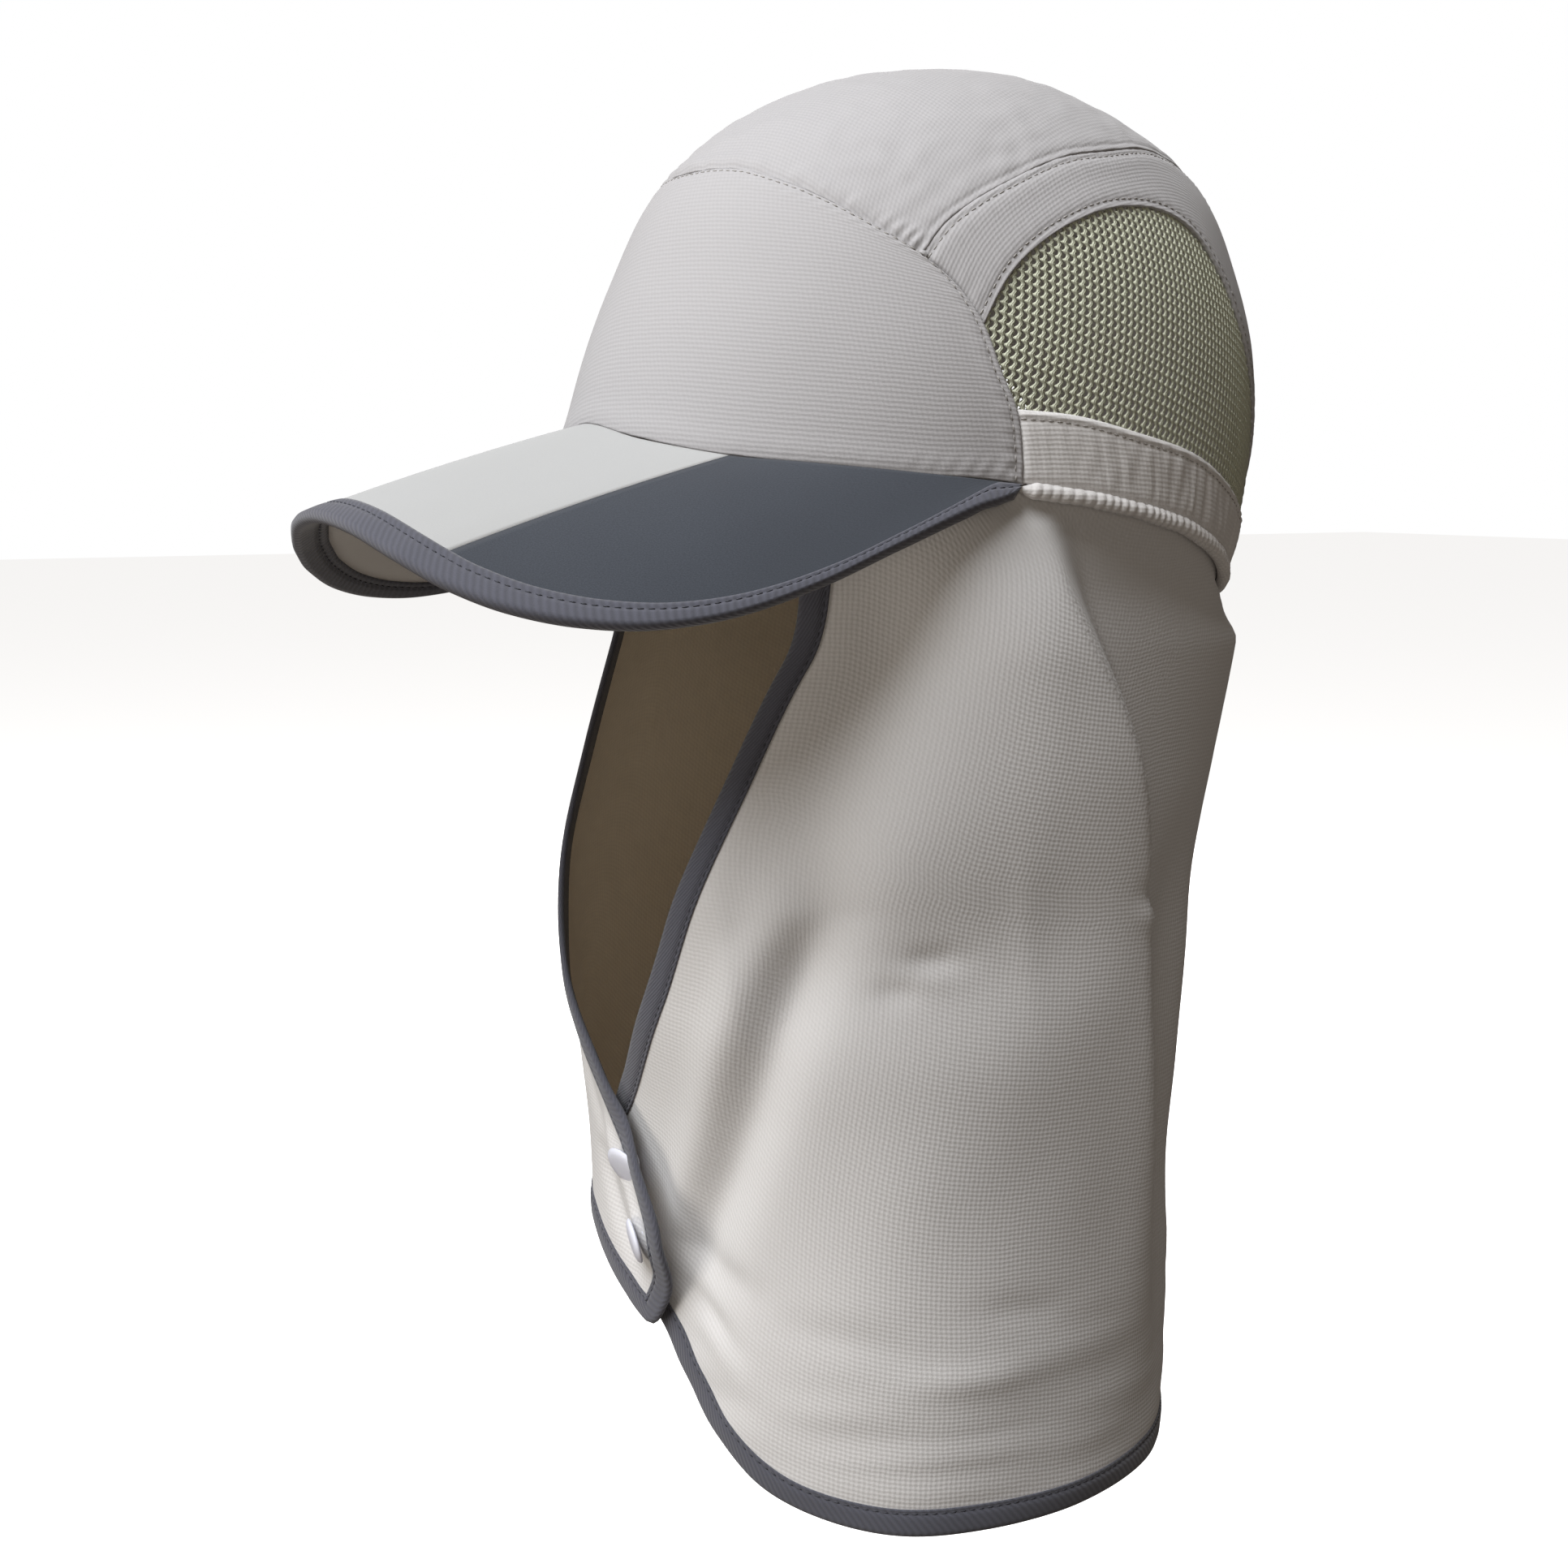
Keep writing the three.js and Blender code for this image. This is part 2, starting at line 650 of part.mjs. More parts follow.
function peakBinding() {
  const thickness = peakCoverWall + seamGap + peakUndersideWall;
  const steps = peakTurns.length - 1;
  const turnAt = (s) => peakTurns[Math.round(s * steps)];
  const widthAt = (s) => {
    const fold = peakFace(turnAt(s), 0).distanceTo(peakFace(turnAt(s), 1));
    return Math.min(peakBindingWidth - tapeWall, fold * 0.5);
  };
  return bar(
    steps,
    (s) => tapeSection(widthAt(s), thickness / 2),
    (s, x, y) => {
      const turn = turnAt(s);
      const middle = peakPoint(turn, 1, thickness / 2);
      const inward = peakPoint(turn, 0.9, thickness / 2).sub(middle).normalize();
      const up = peakPoint(turn, 1, 0).sub(peakPoint(turn, 1, thickness)).normalize();
      return middle.addScaledVector(inward, x).addScaledVector(up, y);
    },
  );
}

// Middle of the flap's cloth at a level, by degrees round from the back
function flapSection(side, turn, drop) {
  const sine = Math.sin(turn * degree);
  const cosine = Math.cos(turn * degree);
  const middle = -flapMiddle * through(flapSections, "drop", "middle", drop);
  const half = flapHalfWidth * through(flapSections, "drop", "half", drop);
  const reach =
    cosine > 0
      ? flapBack * through(flapSections, "drop", "back", drop) - middle
      : flapFront * through(flapSections, "drop", "front", drop) + middle;
  const power = 2 / flapSquareness;
  return new THREE.Vector3(
    side * half * Math.sign(sine) * Math.abs(sine) ** power,
    middle + reach * Math.sign(cosine) * Math.abs(cosine) ** power,
    -drop * flapDrop,
  );
}

// How far the folds and the overlap at the throat push the cloth outward
function flapPush(side, turn, drop) {
  let push = side * -0.5 * (flapOverlapGap + flapWall) * smooth(flapLapStart, flapLapFull, turn);
  for (const fold of flapFolds.filter((row) => row.side === side)) {
    const along = (drop - fold.topDrop) / (fold.lowDrop - fold.topDrop);
    const line = THREE.MathUtils.lerp(fold.topTurn, fold.lowTurn, THREE.MathUtils.clamp(along, 0, 1));
    const fade = smooth(-0.35, 0.25, along) * (1 - smooth(0.75, 1.35, along));
    const away = (turn - line) / fold.width;
    push += fold.depth * flapHalfWidth * fade * Math.exp(-away * away);
  }
  return push;
}

// Flap where it lies inside the band, at a height above the crown's lower edge
function flapInside(side, turn, height) {
  const round = side * (180 - turn);
  const rise = edgeRise(round) + height * risePerLength;
  return crownPoint(round, rise, crownWall + flapTuckGap + flapWall / 2);
}
const flapTuckEnd = -(rollHeight + 2 * seamGap);

// Middle of the flap's cloth: inside the band, then out from under its rolled hem to the
// first section, and by level from there down
function flapMiddleFace(side, turn, drop) {
  const first = flapSections[0].drop;
  if (drop >= first) {
    const point = flapSection(side, turn, drop);
    const outward = flapSection(side, turn + 0.5, drop).sub(flapSection(side, turn - 0.5, drop));
    outward.set(-outward.y, outward.x, 0).normalize().multiplyScalar(side);
    return point.addScaledVector(outward, flapPush(side, turn, drop));
  }
  const top = flapInside(side, turn, flapTuck);
  const leaving = flapInside(side, turn, flapTuckEnd);
  const level = -drop * flapDrop;
  if (level > leaving.z) {
    const share = (top.z - level) / (top.z - leaving.z);
    return flapInside(side, turn, THREE.MathUtils.lerp(flapTuck, flapTuckEnd, share));
  }
  const low = flapMiddleFace(side, turn, first);
  const t = (level - leaving.z) / (low.z - leaving.z);
  const span = leaving.distanceTo(low);
  const leave = leaving.clone().sub(flapInside(side, turn, flapTuckEnd + 1)).normalize();
  const arrive = flapMiddleFace(side, turn, first + 0.01).sub(low).normalize();
  return leaving
    .lerp(low, t * t * (3 - 2 * t))
    .addScaledVector(leave, span * t * (1 - t) * (1 - t))
    .addScaledVector(arrive, -span * t * t * (1 - t));
}

function flapPoint(side, turn, drop, depth) {
  const face = (a, b) => flapMiddleFace(side, a, b / 100);
  const normal = normalOf(face, turn, drop * 100, 0.4).multiplyScalar(side);
  return face(turn, drop * 100).addScaledVector(normal, -depth);
}

function flapTopDrop(side, turn) {
  return -flapInside(side, turn, flapTuck).z / flapDrop;
}

// Border of one half as a curve on the unrolled cloth, and its share at the lower corner
function flapBorder(rows) {
  const curve = new THREE.SplineCurve(
    rows.map((row) => new THREE.Vector2(row.turn * flapHalfWidth * degree, row.drop * flapDrop)),
  );
  const stepsPerRow = 24;
  curve.arcLengthDivisions = stepsPerRow * (rows.length - 1);
  const lengths = curve.getLengths();
  const cornerRow = rows.findIndex((row) => row.corner);
  return { curve, corner: lengths[stepsPerRow * cornerRow] / curve.getLength() };
}
const flapBorders = new Map([
  [1, flapBorder(leftBorder)],
  [-1, flapBorder(rightBorder)],
]);

// Turn and drop inside one half: across runs from the middle of the back to the front
// edge, and down from the band to the hem
function flapPlace(side, across, down) {
  const { curve, corner } = flapBorders.get(side);
  const turnLength = flapHalfWidth * degree;
  const topAt = (turn) => {
    return new THREE.Vector2(turn * turnLength, flapDrop * flapTopDrop(side, turn));
  };
  const topEnd = curve.getPointAt(0);
  const lowEnd = curve.getPointAt(corner);
  const backTop = topAt(0);
  const backLow = curve.getPointAt(1);
  const point = topAt((topEnd.x * across) / turnLength).multiplyScalar(1 - down);
  point.addScaledVector(curve.getPointAt(1 - across * (1 - corner)), down);
  point.addScaledVector(backTop.clone().lerp(backLow, down), 1 - across);
  point.addScaledVector(curve.getPointAt(down * corner), across);
  point.addScaledVector(backTop, -(1 - across) * (1 - down));
  point.addScaledVector(topAt(topEnd.x / turnLength), -across * (1 - down));
  point.addScaledVector(backLow, -(1 - across) * down);
  point.addScaledVector(lowEnd, -across * down);
  return { turn: point.x / turnLength, drop: point.y / flapDrop };
}

// Grid of the cloth: columns across each half from the middle of the back to the front
// edge, rows from the band down to the hem, both closer together toward the border
const flapColumns = 19;
const flapRows = 17;
const flapFirstRow = (flapTuck - flapTuckEnd) / flapDrop;
const flapEase = 0.45;

function flapGrid(side, column, row, depth) {
  const ease = (t) => t * (1 + flapEase - flapEase * t);
  const across = ease(column / flapColumns);
  const down = row < 1 ? 0 : flapFirstRow + (1 - flapFirstRow) * ease((row - 1) / (flapRows - 1));
  const p = flapPlace(side, across, down);
  return flapPoint(side, p.turn, p.drop, depth);
}

// The flap's cloth, one sheet from the left front edge round the back to the right one
function neckFlap() {
  return wall(2 * flapColumns, flapRows, (u, v, face) => {
    const column = Math.round(u * 2 * flapColumns) - flapColumns;
    const row = Math.round((1 - v) * flapRows);
    return flapGrid(column > 0 ? -1 : 1, Math.abs(column), row, (face ? -0.5 : 0.5) * flapWall);
  });
}

// Tape round the flap: down the left front edge, along the hem and up the right one,
// with a step at each row and column of the cloth that it holds
function flapBinding() {
  const firstRow = 2;
  const stations = [];
  for (const side of [1, -1]) {
    const half = [];
    for (let row = firstRow; row < flapRows; row += 1) {
      half.push({ side, column: flapColumns, row, inColumn: flapColumns - 1, inRow: row });
    }
    const inRow = flapRows - 1;
    half.push({ side, column: flapColumns, row: flapRows, inColumn: flapColumns - 1, inRow });
    for (let column = flapColumns - 1; column >= (side > 0 ? 0 : 1); column -= 1) {
      half.push({ side, column, row: flapRows, inColumn: column, inRow });
    }
    stations.push(...(side > 0 ? half : half.reverse()));
  }
  const steps = stations.length - 1;
  const onBorder = (i) => {
    const { side, column, row } = stations[THREE.MathUtils.clamp(i, 0, steps)];
    return flapGrid(side, column, row, 0);
  };
  const width = flapBindingWidth - tapeWall;
  return bar(
    steps,
    () => tapeSection(width, flapWall / 2),
    (s, x, y) => {
      const i = Math.round(s * steps);
      const { side, inColumn, inRow } = stations[i];
      const point = onBorder(i);
      const ahead = onBorder(i + 1).sub(point).normalize();
      const behind = point.clone().sub(onBorder(i - 1)).normalize();
      const along = ahead.add(behind).normalize();
      const inward = flapGrid(side, inColumn, inRow, 0).sub(point);
      const cell = inward.length();
      const outward = along.clone().cross(inward.normalize());
      const spread = Math.min(1 / outward.length(), cell / width);
      outward.normalize();
      return point.addScaledVector(inward, x * spread).addScaledVector(outward, y);
    },
  );
}

// Round plastic piece turned about its own axis, standing on a point along a direction
function snapPiece(profile, point, direction) {
  const geometry = new THREE.LatheGeometry(
    profile.map(([radius, height]) => new THREE.Vector2(radius, height)),
    16,
  );
  geometry.deleteAttribute("uv");
  geometry.deleteAttribute("normal");
  const turn = new THREE.Quaternion().setFromUnitVectors(yAxis, direction);
  geometry.applyQuaternion(turn).translate(point.x, point.y, point.z);
  return mergeVertices(geometry, 1e-4);
}

// Cap on the right half, stud between the halves and plain back behind the left half
function snapPieces(name, turn, drop) {
  const over = flapMiddleFace(-1, turn, drop);
  const under = flapMiddleFace(1, fullTurn - turn, drop);
  const outward = flapPoint(-1, turn, drop, -1).sub(over).normalize();
  const face = flapWall / 2 + seamGap;
  const cap = snapDiameter / 2;
  const post = snapPostDiameter / 2;
  const lift = tapeWall + tapeGap + seamGap;
  const capPlace = over.clone().addScaledVector(outward, face + snapSeat);
  add(
    `${name}_cap`,
    snapPiece(
      [
        [0, 0],
        [post, 0],
        [post, lift],
        [cap * 0.96, lift],
        [cap, lift + snapHeight * 0.3],
        [cap * 0.92, lift + snapHeight * 0.65],
        [cap * 0.6, lift + snapHeight * 0.93],
        [0, lift + snapHeight],
      ],
      capPlace,
      outward,
    ),
    snapPlastic,
  );
  const between = over.clone().lerp(under, 0.5);
  const stud = snapStudDiameter / 2;
  const half = over.distanceTo(under) / 2 - face - 2 * snapSeat;
  add(
    `${name}_stud`,
    snapPiece([[0, -half], [stud, -half], [stud, half], [0, half]], between, outward),
    snapPlastic,
  );
  const back = snapBackDiameter / 2;
  const inward = under.clone().sub(flapPoint(1, fullTurn - turn, drop, -1)).normalize();
  const backPlace = under.clone().addScaledVector(inward, face + snapSeat);
  add(
    `${name}_back`,
    snapPiece([[0, 0], [back, 0], [back, snapBackHeight], [0, snapBackHeight]], backPlace, inward),
    snapPlastic,
  );
}

// Material of each finish, named once
function finish(color, roughness, metalness = 0) {
  return () => new THREE.MeshStandardMaterial({ color, roughness, metalness });
}
const crownCloth = finish(0xc4bfbb, 0.85);
const flapCloth = finish(0xbdb8b0, 0.85);
const lightCloth = finish(0xd9d7d0, 0.8);
const darkCloth = finish(0x4a5058, 0.8);
const netCloth = finish(0x8e9272, 0.75);
const tapeCloth = finish(0x646570, 0.85);
const snapPlastic = finish(0xe6e6f4, 0.35);

const cap = new THREE.Group();

function add(name, geometry, material) {
  const mesh = new THREE.Mesh(geometry, material());
  mesh.name = name;
  cap.add(mesh);
}

add("front_panel", frontPanel(), crownCloth);
add("top_panel", topPanel(), crownCloth);
add("rear_band", rearBand(), crownCloth);
add("rear_band_roll", bandRoll(), crownCloth);
for (const [name, side] of [["left", 1], ["right", -1]]) {
  add(`side_yoke_${name}`, sideYoke(side), crownCloth);
  add(`mesh_vent_${name}`, meshVent(side), netCloth);
}

const underTop = peakCoverWall + seamGap;
const stripeMargin = (seamGap * 0.65) / (crownSide * degree);
const stripe = peakStripeTurn;
const rightTurns = [...peakSideTurns].reverse().map((turn) => -turn);
const centreEnd = stripe - stripeMargin;
add("peak_cover_centre", peakCover(peakMiddleTurns, -centreEnd, centreEnd), lightCloth);
add("peak_cover_left", peakCover(peakSideTurns, stripe + stripeMargin, peakEndTurn), darkCloth);
add("peak_cover_right", peakCover(rightTurns, -peakEndTurn, -stripe - stripeMargin), darkCloth);
add("peak_underside", peakSheet(peakTurns, underTop, underTop + peakUndersideWall), lightCloth);
add("peak_binding", peakBinding(), tapeCloth);
add("neck_flap", neckFlap(), flapCloth);
add("flap_binding", flapBinding(), tapeCloth);
snapPieces("snap_upper", snapTurn, snapDrop);
snapPieces("snap_lower", snapTurn + snapLean, snapDrop + snapSpacing / flapDrop);

export default cap;
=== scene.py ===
import math
from bisect import bisect_right

import bmesh
import bpy
from mathutils import Matrix, Vector, noise


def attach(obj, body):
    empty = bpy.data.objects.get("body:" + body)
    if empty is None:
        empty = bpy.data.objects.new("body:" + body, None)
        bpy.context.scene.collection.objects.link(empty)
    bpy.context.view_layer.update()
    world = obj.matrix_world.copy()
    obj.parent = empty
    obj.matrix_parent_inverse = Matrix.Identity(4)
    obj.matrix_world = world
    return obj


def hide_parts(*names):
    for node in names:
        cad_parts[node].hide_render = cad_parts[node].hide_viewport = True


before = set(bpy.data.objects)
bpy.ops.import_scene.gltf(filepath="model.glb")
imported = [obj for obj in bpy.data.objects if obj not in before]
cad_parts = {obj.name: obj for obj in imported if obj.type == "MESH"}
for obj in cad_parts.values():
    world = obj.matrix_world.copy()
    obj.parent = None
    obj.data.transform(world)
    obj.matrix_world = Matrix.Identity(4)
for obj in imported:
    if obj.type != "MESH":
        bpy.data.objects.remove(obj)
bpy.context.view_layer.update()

mm = 0.001

# Sizes shared with the source, in millimetres and degrees; the front faces -Y, wearer's left is +X
crown = {"front": 102.5, "back": 94.8, "side": 82, "height": 116.2, "shift": 1.3, "tilt": 15.3, "wall": 1.5}
peak = {"halfWidth": 82.6, "reach": 77, "droop": 28.5, "arch": 0.012, "stripeTurn": 35, "endTurn": 78.2,
        "coverWall": 1.2, "underWall": 1.2, "tapeWidth": 8.3}
flap = {"drop": 269.5, "half": 83, "front": 101, "back": 97, "middle": 13, "wall": 1, "tuck": 6, "tuckGap": 0.7,
        "overlapGap": 3.2, "lapStart": 146, "lapFull": 163, "square": 2.12, "tapeWidth": 7}
snap = {"diameter": 12.4, "turn": 183.4, "drop": 0.672, "lean": 5.5, "spacing": 18.5}
seamGap = 0.3
rollHeight = 3.8


# Rows of numbers by rising key; at() gives one column, smooth between the rows
class Table:
    def __init__(self, *rows):
        self.rows = rows
        self.keys = [row[0] for row in rows]
        last = len(rows) - 1
        self.slopes = []
        for i in range(len(rows)):
            low, high = rows[max(i - 1, 0)], rows[min(i + 1, last)]
            self.slopes.append([(b - a) / (high[0] - low[0]) for a, b in zip(low, high)])

    def at(self, place, column=1):
        k = min(max(bisect_right(self.keys, place) - 1, 0), len(self.keys) - 2)
        low, high = self.rows[k][column], self.rows[k + 1][column]
        step = self.keys[k + 1] - self.keys[k]
        t = (place - self.keys[k]) / step
        rise = t * t * (3 - 2 * t)
        bend = self.slopes[k][column] * t * (1 - t) ** 2 - self.slopes[k + 1][column] * t * t * (1 - t)
        return low * (1 - rise) + high * rise + step * bend


# rise above the rim, then reach there as shares of the front, back and side
crownSections = Table(
    (-12, 1.035, 0.975, 0.99), (0, 1.01, 1.01, 1), (15, 1.015, 1.035, 1.03), (30, 1.057, 1.07, 1.07),
    (45, 1.07, 1.145, 1.11), (60, 1.05, 1.345, 1.18), (75, 0.972, 1.582, 1.25), (90, 0.943, 1.735, 1.3))
# seams of the crown: turn round from the front, rise
frontSeamTop = [(0, 31.8), (21, 31.3), (34.5, 29), (46, 26), (55.2, 23.2)]
frontSeamSide = [(78.5, -1.6), (76.8, 3), (74.6, 7.2), (71, 11.2), (66.8, 16.4), (61.5, 20.4), (55.2, 23.2)]
topSeam = [
    (55.2, 23.2), (57.5, 28.5), (61, 33), (66.8, 38.8), (75.5, 46), (90, 53), (118, 61), (142, 57.5), (154, 43),
    (159, 26), (161, 5.6)]
ventSeam = [
    (66.8, 16.4), (69, 23.4), (73, 29.4), (80, 35.8), (89, 40.8), (101, 43.7), (111, 42.6), (119, 38.2),
    (128, 31), (138, 23), (148, 15), (155, 9.5), (158.5, 6.8)]
bandTop = Table(
    (74.6, 7.2), (84, 8.7), (95, 9.3), (110, 9.8), (124, 8.6), (137, 6.9), (153, 5.8), (180, 5.4), (207, 5.8))
crownEdge = Table(
    (-18, -6.1), (0, -4.6), (18, -6.1), (35, -6.3), (47, -5.2), (59, -3.8), (76, -1.6), (92, 0.3), (110, 1.2),
    (125, 0.6), (140, -1), (160, -2.4), (180, -2.7), (200, -2.4))
sideSeamTurn = Table(*sorted((rise, turn) for turn, rise in frontSeamSide))
ventTop = Table(*ventSeam)
bandEndTurn = 78.5
# outer edge of the peak: turn of the fold line, side, reach, droop
peakEdge = Table(
    (-15, -0.245, 0.98, 0.22), (0, 0, 1, 0.14), (15, 0.245, 0.98, 0.22), (28.5, 0.439, 0.921, 0.42),
    (35, 0.525, 0.876, 0.54), (40.5, 0.62, 0.811, 0.68), (46, 0.746, 0.684, 0.85), (51, 0.856, 0.511, 0.965),
    (56, 0.935, 0.301, 1), (61, 0.984, 0.055, 0.92), (66.5, 1.008, -0.227, 0.7), (70.5, 1.012, -0.49, 0.42),
    (74, 1.008, -0.79, 0.1), (76.3, 1, -0.9, 0.03), (78.2, 0.986, -0.985, -0.03))
# level sections of the flap: drop, half width, front, back, middle
flapSections = Table(
    (0.16, 0.984, 0.84, 0.988, 0.77), (0.277, 0.988, 0.945, 0.902, 0.77), (0.387, 0.982, 1.01, 0.838, 0.92),
    (0.498, 0.976, 0.982, 0.82, 1), (0.609, 0.97, 0.923, 0.788, 1), (0.72, 0.97, 0.898, 0.752, 1),
    (0.849, 0.988, 0.896, 0.748, 1), (1, 0.994, 0.876, 0.73, 1))
# border of each half: turn round from the back, drop; the third value marks the lower corner
leftBorder = [
    (124, -0.045), (134, 0.06), (143.5, 0.166), (149.5, 0.277), (156.5, 0.387), (167.5, 0.498), (183, 0.609),
    (192, 0.66), (198.5, 0.705), (200, 0.75, 1), (195.5, 0.771), (186.5, 0.78), (178, 0.803), (170, 0.835),
    (163.5, 0.88), (155, 0.928), (142, 0.972), (123, 0.995), (98, 1), (60, 1), (0, 1)]
rightBorder = [
    (124, -0.045), (133, 0.06), (139, 0.166), (143, 0.277), (149.3, 0.387), (161, 0.498), (180, 0.609),
    (189, 0.66), (194.5, 0.705), (195.8, 0.74), (195, 0.775), (192.3, 0.805), (189, 0.827, 1), (184.5, 0.822),
    (178.5, 0.806), (170.5, 0.785), (161, 0.763), (151, 0.76), (143.5, 0.79), (136, 0.845), (126, 0.905),
    (112, 0.96), (94, 0.992), (60, 1), (0, 1)]
# folds: half, top turn, top drop, low turn, low drop, depth as a share of the half width, half width in degrees
flapFolds = [
    (1, 62, 0.5, 60, 0.8, 0.03, 9), (1, 46, 0.44, 45, 0.86, -0.05, 10), (1, 26, 0.2, 27, 0.9, 0.03, 11),
    (1, 137, 0.4, 168.5, 0.745, 0.03, 6), (1, 127, 0.39, 160.5, 0.745, -0.07, 7.5),
    (1, 121, 0.1, 140, 0.42, -0.06, 12), (-1, 84, 0.1, 64, 0.46, 0.035, 9),
    (-1, 62, 0.16, 47, 0.62, -0.055, 12), (-1, 63, 0.42, 66, 0.85, 0.026, 10), (-1, 28, 0.2, 24, 0.9, 0.03, 11),
    (-1, 193, 0.64, 199, 0.76, 0.07, 9)]


def mixed(a, b, t):
    return a + (b - a) * t


def smooth(low, high, value):
    t = min(max((value - low) / (high - low), 0), 1)
    return t * t * (3 - 2 * t)


def hill(value, width):
    return math.exp(-(value / width) ** 2)


# length of a line of points up to each of them
def lengthsAlong(points):
    out = [0]
    for a, b in zip(points, points[1:]):
        out.append(out[-1] + (b - a).length)
    return out


# the step of such lengths that holds a goal, and the share of the step
def stepAt(lengths, goal):
    k = min(max(bisect_right(lengths, goal) - 1, 0), len(lengths) - 2)
    return k, (goal - lengths[k]) / max(lengths[k + 1] - lengths[k], 1e-6)


# Materials
# One socket of a node; maths on it adds Math nodes
class Wire:
    def __init__(self, finish, socket):
        self.finish = finish
        self.socket = socket

    def maths(self, operation, *values):
        return self.finish.node("ShaderNodeMath", {"operation": operation}, *values)[0]

    def __add__(self, other): return self.maths("ADD", self, other)
    def __radd__(self, other): return self.maths("ADD", other, self)
    def __sub__(self, other): return self.maths("SUBTRACT", self, other)
    def __mul__(self, other): return self.maths("MULTIPLY", self, other)
    def __abs__(self): return self.maths("ABSOLUTE", self)
    def sine(self): return self.maths("SINE", self)


# One material: node() adds any node, by type, settings and the values or links of its sockets
class Finish:
    def __init__(self, name):
        self.material = bpy.data.materials.new(name)
        self.material.use_nodes = True
        self.tree = self.material.node_tree
        self.shader = self.tree.nodes["Principled BSDF"]

    def node(self, kind, settings, *values, **named):
        made = self.tree.nodes.new(kind)
        for key, value in settings.items():
            setattr(made, key, value)
        for place, value in list(enumerate(values)) + [(k.replace("_", " "), v) for k, v in named.items()]:
            self.plug(made.inputs[place], value)
        return [Wire(self, output) for output in made.outputs]

    def plug(self, socket, value):
        if isinstance(value, Wire):
            self.tree.links.new(value.socket, socket)
        else:
            socket.default_value = value

    def surface(self, **sockets):
        for name, value in sockets.items():
            self.plug(self.shader.inputs[name.replace("_", " ")], value)

    def blend(self, amount, low, high):
        wires = self.node("ShaderNodeMix", {"data_type": "RGBA", "clamp_factor": True})
        made = wires[0].socket.node
        self.plug(made.inputs[0], amount)
        self.plug(made.inputs[6], low)
        self.plug(made.inputs[7], high)
        return wires[2]

    def noiseAt(self, vector, scale, detail=2, rough=0.5):
        return self.node("ShaderNodeTexNoise", {}, Vector=vector, Scale=scale, Detail=detail, Roughness=rough)[0]

    # the piece's own map, which is laid out in millimetres along the cloth
    def clothMap(self):
        vector = self.node("ShaderNodeUVMap", {"uv_map": "cloth"})[0]
        parts = self.node("ShaderNodeSeparateXYZ", {}, vector)
        return vector, parts[0], parts[1]

    def place(self):
        return self.node("ShaderNodeTexCoord", {})[3]

    def bump(self, strength, depth, height):
        return self.node("ShaderNodeBump", {}, Strength=strength, Distance=depth * mm, Height=height)[0]


def shade(color, factor):
    return tuple(min(c * factor, 1) for c in color[:3]) + (1,)


# Woven cloth; its weave gives the thread pattern from 0 to 1 by position in millimetres
def wovenCloth(name, look):
    f = Finish(name)
    vector, s, t = f.clothMap()
    wander = (f.noiseAt(vector, 0.35, 3) - 0.5) * look["wander"]
    threads = look["weave"](f, s + wander, t + wander, 2 * math.pi / look["pitch"])
    body = f.place()
    fuzz = f.noiseAt(vector, 2.6, 2)
    patches = f.noiseAt(body, 14, 3)
    amount = threads * look["contrast"] + (fuzz - 0.5) * look["grain"] + (1 - look["contrast"]) * 0.5 + 0.1
    color = f.blend(amount, shade(look["color"], look["dark"]), shade(look["color"], look["light"]))
    color = f.blend((patches - 0.35) * 1.2, color, look["second"])
    bump = f.bump(look["bump"], look["depth"], threads * 0.8 + fuzz * 0.35)
    f.surface(Base_Color=color, Roughness=0.78 + threads * 0.12, Normal=bump, Sheen_Weight=look["sheen"],
              Sheen_Roughness=0.6, Specular_IOR_Level=0.25)
    return f.material


# Patterns of threads; turn is 2 pi over the pitch in millimetres
def basketWeave(f, s, t, turn):
    return ((s * turn).sine() + (t * turn * 1.08).sine() + 2) * 0.25


def ribbedWeave(f, s, t, turn):
    ribs = ((t - s * 0.12) * turn).sine()
    beads = ((s * 0.9 + t * 0.5) * turn).sine()
    return (ribs * 0.6 + beads * 0.4 + 1) * 0.5


def twillWeave(f, s, t, turn):
    return ((s * 0.72 + t * 0.69) * turn).sine() * 0.5 + 0.5


def grainWeave(f, s, t, turn):
    vector = f.node("ShaderNodeCombineXYZ", {}, s, t, 0.0)[0]
    return f.noiseAt(vector, turn / (2 * math.pi), 2, 0.6)


